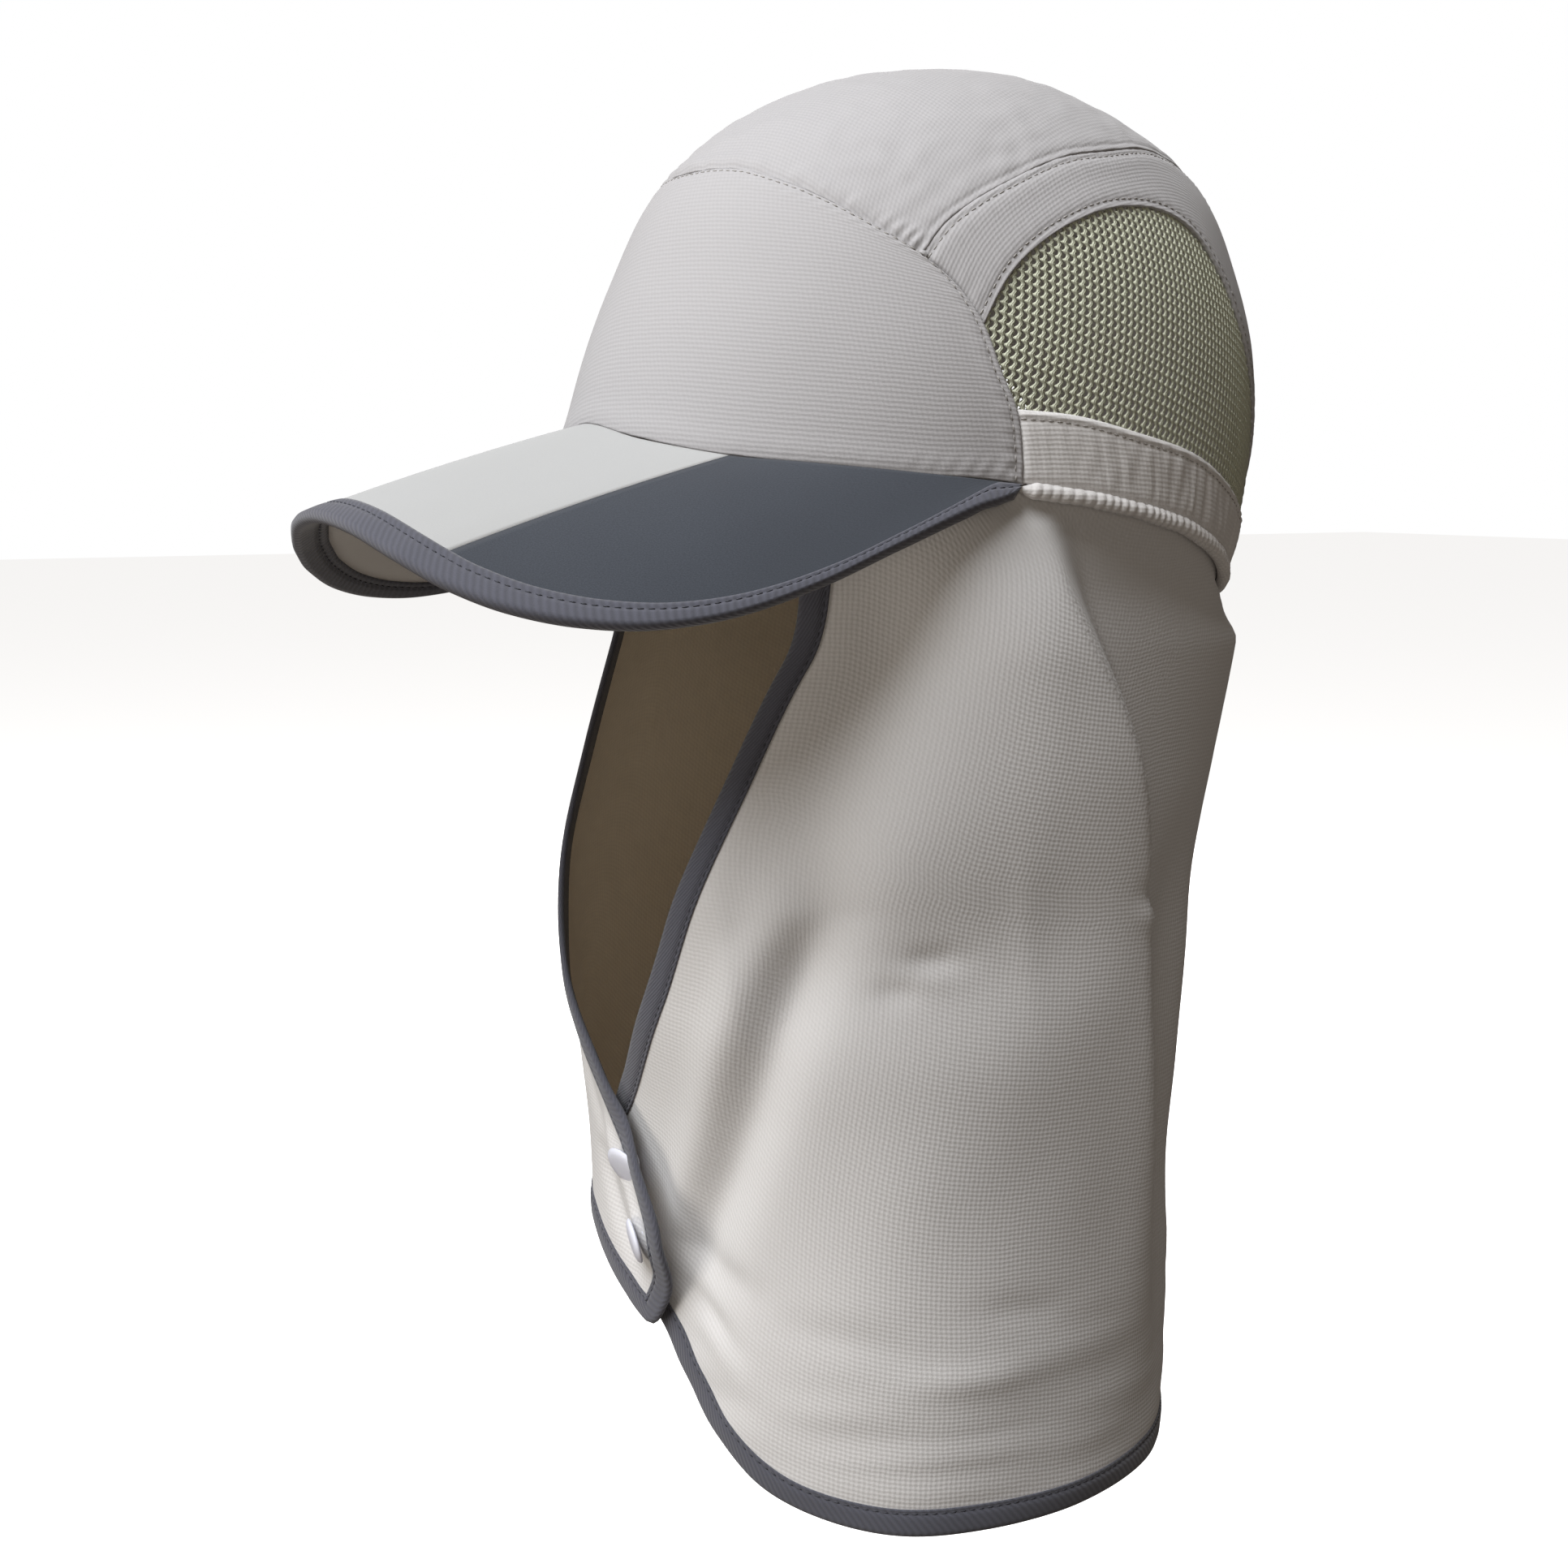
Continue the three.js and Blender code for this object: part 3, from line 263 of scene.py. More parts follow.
plainWeave = {"dark": 0.84, "light": 1.08, "contrast": 0.55, "grain": 0.5, "wander": 0.5, "bump": 0.5,
              "depth": 0.22, "sheen": 0.15, "weave": ribbedWeave, "pitch": 1.25}
flapWeave = {**plainWeave, "wander": 0.6, "weave": basketWeave, "pitch": 1.35}
peakWeave = {"dark": 0.9, "light": 1.05, "contrast": 0.4, "grain": 0.6, "wander": 0.4, "bump": 0.35,
             "depth": 0.12, "sheen": 0.1, "weave": grainWeave, "pitch": 0.5}
finishes = {
    "crown_cloth": {**plainWeave, "color": (0.425, 0.415, 0.423, 1), "second": (0.395, 0.386, 0.393, 1)},
    # painted light: the band and its roll get the crown's cloth made much lighter, standing in for more light
    # falling on the band
    "band_cloth_painted_light": {**plainWeave, "color": (0.72, 0.705, 0.70, 1), "second": (0.68, 0.665, 0.66, 1)},
    # painted light: the flap's cloth is made far lighter than the crown's, standing in for the key light its
    # upright faces miss
    "flap_cloth": {**flapWeave, "color": (0.66, 0.652, 0.652, 1), "second": (0.62, 0.608, 0.608, 1),
                   "light": 1.07, "contrast": 0.5},
    # painted light: the flap's inner face is its cloth made lighter and warmer, standing in for light shining
    # through and bounced inside the flap
    "flap_inner_cloth_painted_light": {**flapWeave, "color": (0.80, 0.72, 0.60, 1), "second": (0.74, 0.66, 0.55, 1),
                         "dark": 0.85, "bump": 0.4, "depth": 0.2, "sheen": 0.1},
    "peak_under_cloth": {**peakWeave, "color": (0.72, 0.70, 0.68, 1), "second": (0.68, 0.66, 0.64, 1)},
    "peak_light_cloth": {**peakWeave, "color": (0.415, 0.418, 0.418, 1), "second": (0.395, 0.397, 0.395, 1)},
    "peak_dark_cloth": {**peakWeave, "color": (0.030, 0.035, 0.045, 1), "second": (0.026, 0.030, 0.040, 1),
                        "dark": 0.7, "light": 1.75, "contrast": 0.8, "grain": 1.2, "bump": 0.4, "depth": 0.14,
                        "sheen": 0.15},
    "binding_tape": {"color": (0.074, 0.076, 0.098, 1), "second": (0.063, 0.064, 0.083, 1), "dark": 0.7,
                     "light": 1.25, "contrast": 0.6, "grain": 0.5, "wander": 0.25, "bump": 0.6, "depth": 0.2,
                     "sheen": 0.25, "weave": twillWeave, "pitch": 1.5},
}
woven = {name: wovenCloth(name, look) for name, look in finishes.items()}


def threadFinish(name, color):
    f = Finish(name)
    twist = f.noiseAt(f.place(), 900, 2)
    f.surface(Base_Color=f.blend(twist, shade(color, 0.8), shade(color, 1.15)), Roughness=0.55 + twist * 0.2)
    return f.material


def netFinish():
    f = Finish("vent_mesh")
    body = f.place()
    yarn = f.noiseAt(body, 1300, 2)
    patches = f.noiseAt(body, 30, 2)
    color = f.blend(yarn, (0.40, 0.415, 0.315, 1), (0.66, 0.68, 0.53, 1))
    color = f.blend(patches * 0.5, color, (0.56, 0.57, 0.46, 1))
    plies = abs((f.clothMap()[1] * 5.2).sine())
    bump = f.bump(0.7, 0.2, plies + yarn * 0.3)
    f.surface(Base_Color=color, Roughness=0.42 + yarn * 0.2, Normal=bump, Specular_IOR_Level=0.5)
    return f.material


def plasticFinish():
    f = Finish("snap_plastic")
    cloud = f.noiseAt(f.place(), 400, 3)
    bump = f.bump(0.15, 0.05, cloud)
    color = f.blend(cloud, (0.72, 0.74, 0.86, 1), (0.82, 0.84, 0.93, 1))
    f.surface(Base_Color=color, Roughness=0.3 + cloud * 0.12, Normal=bump)
    return f.material


netMaterial = netFinish()
snapMaterial = plasticFinish()
greyThread = threadFinish("grey_thread", (0.36, 0.345, 0.33, 1))
darkThread = threadFinish("dark_thread", (0.045, 0.047, 0.06, 1))
print("materials made")


# Cloth pieces
# A grid of points over a piece of cloth, with lengths along it and normals
class Cloth:
    def __init__(self, points):
        self.points = points
        self.rows, self.columns = len(points) - 1, len(points[0]) - 1
        self.across = [lengthsAlong(row) for row in points]
        up = [lengthsAlong([row[i] for row in points]) for i in range(self.columns + 1)]
        self.up = [[up[i][j] for i in range(self.columns + 1)] for j in range(self.rows + 1)]
        self.findNormals()

    def findNormals(self):
        p, last, top = self.points, self.columns, self.rows
        self.normals = []
        for j in range(top + 1):
            low, high = p[max(j - 1, 0)], p[min(j + 1, top)]
            across = [p[j][min(i + 1, last)] - p[j][max(i - 1, 0)] for i in range(last + 1)]
            self.normals.append([across[i].cross(high[i] - low[i]).normalized() for i in range(last + 1)])

    # pushes every point along its normal; relief gets the distances to the four sides
    def shape(self, relief):
        moved = []
        for j in range(self.rows + 1):
            line = []
            for i in range(self.columns + 1):
                s, t = self.across[j][i], self.up[j][i]
                ends = (s, self.across[j][-1] - s, t, self.up[-1][i] - t)
                line.append(self.points[j][i] + self.normals[j][i] * relief(ends, self.points[j][i]))
            moved.append(line)
        self.points = moved
        self.findNormals()

    # point and normal on the grid, at fractions of its columns and rows
    def spot(self, i, j):
        i, j = min(max(i, 0), self.columns), min(max(j, 0), self.rows)
        a, b = min(int(i), self.columns - 1), min(int(j), self.rows - 1)
        out = []
        for grid in (self.points, self.normals):
            low = grid[b][a].lerp(grid[b][a + 1], i - a)
            out.append(low.lerp(grid[b + 1][a].lerp(grid[b + 1][a + 1], i - a), j - b))
        return out

    # line at a distance from one side: near, far, low or high
    def line(self, side, distance):
        out = []
        if side in ("low", "high"):
            for i in range(self.columns + 1):
                lengths = [row[i] for row in self.up]
                goal = distance if side == "low" else lengths[-1] - distance
                out.append(self.spot(i, sum(stepAt(lengths, goal))))
        else:
            for j in range(self.rows + 1):
                goal = distance if side == "near" else self.across[j][-1] - distance
                out.append(self.spot(sum(stepAt(self.across[j], goal)), j))
        return out


# shares from 0 to 1 that crowd toward both ends
def crowded(count, crowd):
    shares = [i / count for i in range(count + 1)]
    return [t - crowd * math.sin(2 * math.pi * t) / (2 * math.pi) for t in shares]


def ridden(obj, nodes=()):
    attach(obj, "root")
    if nodes:
        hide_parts(*nodes)
    return obj


def placed(name, bm, material):
    mesh = bpy.data.meshes.new(name)
    bm.to_mesh(mesh)
    bm.free()
    for polygon in mesh.polygons:
        polygon.use_smooth = True
    mesh.materials.append(material)
    obj = bpy.data.objects.new(name, mesh)
    bpy.context.scene.collection.objects.link(obj)
    return obj


def walled(obj, name, wall):
    thick = obj.modifiers.new(name, "SOLIDIFY")
    thick.thickness = wall * mm
    thick.offset = -1
    return thick


# Closed wall of cloth over a grid; its map is in millimetres from the middle of the piece
def clothPiece(name, cloth, wall, material, nodes, lining=None):
    bm = bmesh.new()
    layer = bm.loops.layers.uv.new("cloth")
    columns, rows = cloth.columns, cloth.rows
    bmesh.ops.create_grid(bm, x_segments=columns, y_segments=rows, size=0.5)
    middle, level = columns // 2, rows // 2
    spots = {}
    for vert in bm.verts:
        i, j = round((vert.co.x + 0.5) * columns), round((vert.co.y + 0.5) * rows)
        vert.co = cloth.points[j][i] * mm
        spots[vert] = (cloth.across[j][i] - cloth.across[j][middle], cloth.up[j][i] - cloth.up[level][i])
    for face in bm.faces:
        for loop in face.loops:
            loop[layer].uv = spots[loop.vert]
    obj = placed(name, bm, woven[material])
    thick = walled(obj, "wall", wall)
    if lining:
        obj.data.materials.append(woven[lining])
        thick.material_offset = 1
    return ridden(obj, nodes)


# Stitches
threads = {"radius": 0.2, "share": 0.74, "sink": 0.05}


# Row of stitches along a line of points and normals, pitch apart, added to bm
def sew(bm, line, pitch, margin=0):
    lengths = lengthsAlong([point for point, normal in line])
    radius = threads["radius"]

    def along(length):
        k, t = stepAt(lengths, length)
        return line[k][0].lerp(line[k + 1][0], t), line[k][1].lerp(line[k + 1][1], t)

    usable = lengths[-1] - 2 * margin
    count = max(int(usable / pitch), 1)
    half = pitch * threads["share"] / 2
    for n in range(count):
        middle = margin + usable * (n + 0.5) / count
        run = (along(middle + half)[0] - along(middle - half)[0]).normalized()
        point, normal = along(middle)
        across = normal.cross(run).normalized()
        basis = Matrix((run * half, across * radius, normal.normalized() * radius)).transposed()
        seat = (point + normal * (radius * 0.5 - threads["sink"])) * mm
        place = Matrix.Translation(seat) @ (basis * mm).to_4x4()
        bmesh.ops.create_icosphere(bm, subdivisions=1, radius=1, matrix=place)


def stitchPiece(name, bm, material):
    return ridden(placed(name, bm, material))


# Crown
crownLook = {"soft": 0.35, "softSize": 26, "cloth": 1.0, "stitchPitch": 2.5, "seamReach": 16, "crinkle": 0.5,
             "crinkleSize": 5.5, "crinklePatch": 24, "topStitch": 0.95, "frontSideStitch": 2.3, "ventStitch": 2.2,
             "yokeStitch": 1.9, "frontGrid": (150, 66), "topGrid": (104, 170), "yokeGrid": (170, 24)}


def crownFace(turn, rise):
    a, r, tilt = math.radians(turn), math.radians(rise), math.radians(crown["tilt"])
    forward, level = math.cos(a), math.cos(r)
    if forward > 0:
        reach = crown["front"] * crownSections.at(rise, 1)
    else:
        reach = crown["back"] * crownSections.at(rise, 2)
    y = crown["shift"] - reach * level * forward
    z = crown["height"] * math.sin(r)
    return Vector((crown["side"] * crownSections.at(rise, 3) * level * math.sin(a),
                   y * math.cos(tilt) + z * math.sin(tilt), z * math.cos(tilt) - y * math.sin(tilt)))


def crownPoint(turn, rise, depth):
    step = 0.2
    aroundIt = crownFace(turn + step, rise) - crownFace(turn - step, rise)
    upIt = crownFace(turn, rise + step) - crownFace(turn, rise - step)
    return crownFace(turn, rise) - aroundIt.cross(upIt).normalized() * depth


risePerLength = 1 / (crown["height"] * math.radians(1))


def edgeRise(turn):
    return crownEdge.at(min(abs(turn), 360 - abs(turn)))


def bandTopRise(turn):
    return bandTop.at(min(turn, 360 - turn))


# Smooth curve through points, by share of its length
class Curve:
    fine = 30  # pieces from one point to the next

    def __init__(self, points):
        last, fine = len(points) - 1, self.fine
        self.line = []
        for k in range(last):
            p0, p1, p2, p3 = points[max(k - 1, 0)], points[k], points[k + 1], points[min(k + 2, last)]
            for i in range(fine):
                t = i / fine
                v0, v1 = (p2 - p0) * 0.5, (p3 - p1) * 0.5
                self.line.append((p1 * 2 - p2 * 2 + v0 + v1) * t ** 3 + (p2 * 3 - p1 * 3 - v0 * 2 - v1) * t * t
                                 + v0 * t + p1)
        self.line.append(points[-1])
        self.lengths = lengthsAlong(self.line)

    def at(self, share):
        k, t = stepAt(self.lengths, min(max(share, 0), 1) * self.lengths[-1])
        return self.line[k].lerp(self.line[k + 1], t)


# Flat map of the dome: the middle is the top of the crown and the front is up
def seam(rows, side=1):
    return Curve([Vector((math.sin(math.radians(side * turn)), math.cos(math.radians(turn)))) * (1 - rise / 90)
                  for turn, rise in rows])


def patch(low, high, near, far):
    corners = [low.at(0), low.at(1), high.at(0), high.at(1)]

    def at(u, v):
        p = low.at(u) * (1 - v) + high.at(u) * v + near.at(v) * (1 - u) + far.at(v) * u
        p -= (corners[0] * (1 - u) * (1 - v) + corners[1] * u * (1 - v)
              + corners[2] * (1 - u) * v + corners[3] * u * v)
        return math.degrees(math.atan2(p.x, p.y)), 90 * (1 - p.length)
    return at


# What the seams do to a panel: each side sinks at the edge, has a sewn groove and small puckers
def seamRelief(sides, seed):
    def relief(ends, point):
        push = crownLook["soft"] * noise.noise(point / crownLook["softSize"] + Vector((seed, 0, 0)))
        for place, side in enumerate(sides):
            away = ends[place]
            along = ends[2 if place < 2 else 0]
            if away > crownLook["seamReach"]:
                continue
            push -= side["sink"] * hill(away, side["round"])
            push -= side["groove"] * hill(away - side["stitch"], 0.55)
            wander = 3 * noise.noise(Vector((along / 9, seed, place)))
            ripple = math.sin(along * 2 * math.pi / side["pitch"] + wander)
            push += side["pucker"] * ripple * hill(away - side["stitch"] - 1.2, 2.6)
            push += side["swell"] * hill(away - side["stitch"] - 2.6, 2.2)
        return push
    return relief


plainSeam = {"sink": 0.28, "round": 0.5, "stitch": 1.0, "groove": 0.1, "pitch": 4.6,
             "pucker": 0.1, "swell": 0.1}
sewnSeam = {"sink": 0.3, "round": 0.5, "stitch": 1.9, "groove": 0.3, "pitch": 4.2,
            "pucker": 0.16, "swell": 0.18}
raisedSeam = {"sink": 0.0, "round": 0.4, "stitch": 1.8, "groove": 0.26, "pitch": 4.4,
              "pucker": 0.1, "swell": 0.12}
gatherSeam = {"sink": 0.45, "round": 0.8, "stitch": 1.0, "groove": 0.15, "pitch": 3.4,
              "pucker": 0.32, "swell": 0.35}


def crownGrid(grid, place, sides, seed, crowd=(0.7, 0.7)):
    us, vs = crowded(grid[0], crowd[0]), crowded(grid[1], crowd[1])
    cloth = Cloth([[crownFace(*place(u, v)) for u in us] for v in vs])
    cloth.shape(seamRelief(sides, seed))
    return cloth


def crownPiece(name, cloth):
    clothPiece(f"{name}_cloth", cloth, crownLook["cloth"], "crown_cloth", [name])


def mirroredTop():
    return [(-turn, rise) for turn, rise in reversed(frontSeamTop)] + frontSeamTop[1:]


lowEdge = [(turn, edgeRise(turn)) for turn in [bandEndTurn * k / 6 for k in range(-6, 7)]]
frontPlace = patch(seam(lowEdge), seam(mirroredTop()), seam(frontSeamSide, -1), seam(frontSeamSide))
frontCloth = crownGrid(crownLook["frontGrid"], frontPlace, [sewnSeam, sewnSeam, plainSeam, plainSeam], 1)
crownPiece("front_panel", frontCloth)

endTurn = topSeam[-1][0]
rearEdge = []
for k in range(7):
    turn = -endTurn - (360 - 2 * endTurn) * k / 6
    rearEdge.append((turn, bandTopRise(-turn)))
topPlace = patch(seam(mirroredTop()), seam(rearEdge), seam(topSeam, -1), seam(topSeam))
topCloth = crownGrid(crownLook["topGrid"], topPlace, [raisedSeam, raisedSeam, gatherSeam, plainSeam], 2)


def crinkle(ends, point):
    share = 0.4 + abs(noise.noise(point / crownLook["crinklePatch"] + Vector((4, 0, 0))))
    return crownLook["crinkle"] * noise.noise(point / crownLook["crinkleSize"]) * share


topCloth.shape(crinkle)
crownPiece("top_panel", topCloth)

crownStitches = bmesh.new()
pitch = crownLook["stitchPitch"]
sew(crownStitches, frontCloth.line("high", crownLook["topStitch"]), pitch)
for side in ("near", "far"):
    sew(crownStitches, frontCloth.line(side, crownLook["frontSideStitch"]), pitch)

for side, word in ((1, "left"), (-1, "right")):
    rear = [ventSeam[-1], (endTurn, bandTopRise(endTurn))]
    long = [seam(ventSeam, side), seam(topSeam, side)]
    ends = [seam(frontSeamSide[4:], side), seam(rear, side)]
    if side > 0:
        yokePlace = patch(long[0], long[1], ends[0], ends[1])
        sides, grid, crowd = [plainSeam, plainSeam, raisedSeam, sewnSeam], crownLook["yokeGrid"], (0.2, 0.6)
        ventSide, topSide = "low", "high"
    else:
        yokePlace = patch(ends[0], ends[1], long[0], long[1])
        sides, grid, crowd = [raisedSeam, sewnSeam, plainSeam, plainSeam], crownLook["yokeGrid"][::-1], (0.6, 0.2)
        ventSide, topSide = "near", "far"
    yokeCloth = crownGrid(grid, yokePlace, sides, 3 + side, crowd)
    crownPiece(f"side_yoke_{word}", yokeCloth)
    sew(crownStitches, yokeCloth.line(ventSide, crownLook["ventStitch"]), pitch)
    sew(crownStitches, yokeCloth.line(topSide, crownLook["yokeStitch"]), pitch)
print("crown panels made")


# Gathered band round the back, and the rolled hem under it
band = {"columns": 460, "rows": 22, "cloth": 1.0, "gather": 0.55, "pitch": 6.4, "stitch": 2.4}
roll = {"columns": 1000, "rows": 12, "radius": 2.05, "cloth": 0.6, "bead": 0.4, "pitch": 2.8,
        "length": 330, "half": 165}


def bandEnd(share):
    rise = mixed(edgeRise(bandEndTurn), bandTopRise(bandTop.keys[0]), share)
    return sideSeamTurn.at(rise)


def bandFace(u, v):
    end = bandEnd(v)
    turn = mixed(end, 360 - end, u)
    return crownFace(turn, mixed(edgeRise(turn), bandTopRise(turn), v))


def bandRelief(ends, point):
    near, far, low, high = ends
    inward = min(near, far)
    gathered = smooth(4, 60, inward)
    phase = near / band["pitch"] * 2 * math.pi + 5 * noise.noise(Vector((near / 14, 3.1, low / 30)))
    ridge = 0.7 * math.sin(phase) + 0.5 * math.sin(phase * 1.73 + 1.3)
    ridge += 2.2 * noise.noise(Vector((near / 3.1, low / 9, 1)))
    push = band["gather"] * (0.25 + 0.75 * gathered) * ridge * 0.42
    push *= smooth(0, 4, low) * (0.45 + 0.55 * smooth(1, 5, high))
    push -= 0.55 * hill(high, 0.7) + 0.3 * hill(high - band["stitch"], 0.55)
    push += 0.25 * hill(high - 1.2, 0.9)
    push -= 0.7 * hill(inward, 0.8)
    push -= 0.5 * hill(low, 1.2)
    return push


bandCloth = Cloth([[bandFace(u, v) for u in crowded(band["columns"], 0)] for v in crowded(band["rows"], 0.5)])
bandCloth.shape(bandRelief)
# the band and its roll wear the lighter band cloth, which is painted light
clothPiece("rear_band_cloth", bandCloth, band["cloth"], "band_cloth_painted_light", ["rear_band"])
sew(crownStitches, bandCloth.line("high", band["stitch"]), pitch)
stitchPiece("crown_stitches", crownStitches, greyThread)


def rollFace(u, v):
    turn = mixed(bandEndTurn - 0.4, 360.4 - bandEndTurn, u)
    angle = math.radians(mixed(-roll["half"], roll["half"], v))
    length = u * roll["length"]
    inward = min(length, roll["length"] - length)
    gathered = smooth(0, 60, inward)
    bead = abs(math.sin(length * math.pi / roll["pitch"] + 1.5 * noise.noise(Vector((length / 11, 7.7, 0)))))
    fat = 1 + roll["bead"] * (0.35 + 0.65 * gathered) * (bead - 0.6) * (0.5 + 0.5 * math.cos(angle))
    fat += 0.1 * noise.noise(Vector((length / 6, 2.2, v * 2)))
    end = 0.35 + 0.65 * smooth(0, 4, inward)
    radius = roll["radius"] * fat * end
    rise = edgeRise(turn) - (rollHeight / 2 - 0.35 - radius * math.sin(angle) * 1.05) * risePerLength
    return crownPoint(turn, rise, 0.5 - radius * math.cos(angle) * 0.85)


rollCloth = Cloth([[rollFace(u, v) for u in crowded(roll["columns"], 0)] for v in crowded(roll["rows"], 0)])
clothPiece("rear_band_roll_cloth", rollCloth, roll["cloth"], "band_cloth_painted_light", ["rear_band_roll"])
print("rear band made")


# Knitted mesh vents: one zigzag strand per wale, whose loops lie against the next
net = {"wale": 1.9, "course": 2.6, "width": 0.55, "loop": 0.45, "sway": 0.36, "lean": 0.06, "crown": 0.22,
       "yarn": 0.35, "under": 1.1, "tuck": 1.6, "middle": 112, "radius": 86, "steps": 6, "lowRise": 3,
       "highRise": 46, "firstWale": -40, "lastWale": 45, "long": 0.6, "loopShare": 0.15, "loopLift": 0.25}


def inVent(turn, rise):
    grow = net["tuck"] * risePerLength
    front = sideSeamTurn.at(min(max(rise, frontSeamSide[1][1]), frontSeamSide[-1][1]))
    if rise < bandTopRise(turn) - grow or turn > endTurn + 2 or turn < front - grow:
        return False
    if turn < ventSeam[0][0]:
        return rise < ventSeam[0][1] + grow
    return rise < ventTop.at(min(turn, ventSeam[-1][0])) + grow


def ventNet(side, word):
    bm = bmesh.new()
    layer = bm.loops.layers.uv.new("cloth")
    lowRise, highRise = net["lowRise"], net["highRise"]
    courses = int((highRise - lowRise) / risePerLength / net["course"])
    segments = courses * net["steps"]
    spots = {}
    for wale in range(net["firstWale"], net["lastWale"] + 1):
        made = bmesh.ops.create_grid(bm, x_segments=2, y_segments=segments, size=0.5)
        lost = []
        for vert in made["verts"]:
            step = (vert.co.y + 0.5) * segments
            edge = round(vert.co.x * 2)
            course = step / net["steps"] + wale * net["lean"]
            swing = course % 1
            zig = swing / net["long"] if swing < net["long"] else (1 - swing) / (1 - net["long"])
            loop = hill(min(swing, 1 - swing), net["loopShare"])
            rise = mixed(lowRise, highRise, step / segments)
            level = math.cos(math.radians(rise)) * crownSections.at(rise, 3)
            across = edge * (net["width"] + net["loop"] * loop)
            s = wale * net["wale"] + (zig * zig * (3 - 2 * zig) - 0.5) * 2 * net["sway"] + across
            turn = net["middle"] + math.degrees(s / (net["radius"] * level))
            if not inVent(turn, rise):
                lost.append(vert)
                continue
            lift = net["crown"] * (1 - abs(edge)) + net["loopLift"] * loop
            vert.co = crownPoint(side * turn, rise, net["under"] - lift) * mm
            spots[vert] = (across, step / net["steps"] * net["course"])
        bmesh.ops.delete(bm, geom=lost, context="VERTS")
    loose = [vert for vert in bm.verts if not vert.link_faces]
    bmesh.ops.delete(bm, geom=loose, context="VERTS")
    for face in bm.faces:
        for loop in face.loops:
            loop[layer].uv = spots[loop.vert]
    if side < 0:
        bmesh.ops.reverse_faces(bm, faces=bm.faces)
    obj = placed(f"mesh_vent_{word}_net", bm, netMaterial)
    walled(obj, "yarn", net["yarn"])
    ridden(obj, [f"mesh_vent_{word}"])


ventNet(1, "left")
ventNet(-1, "right")
print("vents made")


# Peak
peakLook = {"cover": 0.8, "gap": 0.3, "tapeCloth": 0.5, "stitchPitch": 2.6, "stitchIn": 5.6, "rows": 50,
            "sideColumns": 70, "middleColumns": 64, "tapeColumns": 320}
peakFront = -(crown["front"] - crown["shift"]) * math.cos(math.radians(crown["tilt"]))
peakThick = peak["coverWall"] + seamGap + peak["underWall"]


def peakFace(turn, share):
    away = abs(turn)
    rise = edgeRise(away) - seamGap * risePerLength
    if share < 0:
        return crownPoint(turn, rise, -share * (1.6 - 1.2 * smooth(34, 54, away)))
    root = crownFace(turn, rise)
    edge = Vector((math.copysign(1, turn) * peak["halfWidth"] * peakEdge.at(away, 1),
                   peakFront - peak["reach"] * peakEdge.at(away, 2), -peak["droop"] * peakEdge.at(away, 3)))
    point = root.lerp(edge, share)
    point.z += peak["arch"] * (root - edge).length * 4 * share * (1 - share)
    return point


def peakPoint(turn, share, depth):
    near = max(share, 0.02)
    alongTurn = peakFace(turn + 0.3, near) - peakFace(turn - 0.3, near)
    alongShare = peakFace(turn, near + 0.01) - peakFace(turn, near - 0.01)
    return peakFace(turn, share) - alongShare.cross(alongTurn).normalized() * depth


# turns that are evenly spaced along the peak's outer edge
def evenTurns(count, low, high, fine=400):
    lengths = lengthsAlong([peakFace(mixed(low, high, i / fine), 1) for i in range(fine + 1)])
    return [mixed(low, high, sum(stepAt(lengths, lengths[-1] * k / count)) / fine) for k in range(count + 1)]


def peakSheet(name, turns, depth, facing, material, node):
    points, rows = [], peakLook["rows"]
    for j in range(rows + 1):
        share = -1 if j == 0 else (j - 1) / (rows - 1)
        line = []
        for turn in turns:
            edge = (peakFace(turn, 0) - peakFace(turn, 1)).length
            line.append(peakPoint(turn, share if share < 0 else share * (1 - peakLook["gap"] / edge), depth))
        points.append(line if facing < 0 else line[::-1])
    clothPiece(name, Cloth(points), peakLook["cover"], material, [node])


stripe, peakEnd, middles = peak["stripeTurn"], peak["endTurn"], peakLook["middleColumns"]
sideTurns = evenTurns(peakLook["sideColumns"], stripe, peakEnd)
middleTurns = [mixed(-stripe, stripe, i / middles) for i in range(middles + 1)]
rightTurns = [-turn for turn in reversed(sideTurns)]
allTurns = rightTurns + middleTurns[1:-1] + sideTurns
covers = (("centre", middleTurns, "light"), ("left", sideTurns, "dark"), ("right", rightTurns, "dark"))
for word, turns, tone in covers:
    cloth = f"peak_{tone}_cloth"
    peakSheet(f"peak_{word}_cloth", turns, 0, 1, cloth, f"peak_cover_{word}")
peakSheet("peak_under_cloth", allTurns, peakThick, -1, "peak_under_cloth", "peak_underside")

# both tapes: rows of the grid, lift off the cloth, share and depth of the fold, and the sewn groove
tapeLook = {"rows": 26, "lift": 0.5, "fold": 0.16, "edge": 1.4, "bulge": 0.16, "thin": 0.14, "groove": 0.36,
            "grooveWidth": 0.6}


# Section of a tape folded over an edge, from its inner edge below, round the fold, to the one above
def tapeProfile(v, width, half, stitchIn):
    lift, fold = tapeLook["lift"], tapeLook["fold"]
    if abs(v - 0.5) < fold / 2:
        angle = math.pi * (v - 0.5) / fold
        return -tapeLook["edge"] * math.cos(angle), (half + lift) * math.sin(angle)
    q = (abs(v - 0.5) - fold / 2) / (0.5 - fold / 2)
    x = q * width
    y = half + lift + tapeLook["bulge"] * math.sin(math.pi * min(q * 1.05, 1))
    y -= tapeLook["thin"] * smooth(0.85, 1, q) + tapeLook["groove"] * hill(x - stitchIn, tapeLook["grooveWidth"])
    return x, math.copysign(y, v - 0.5)


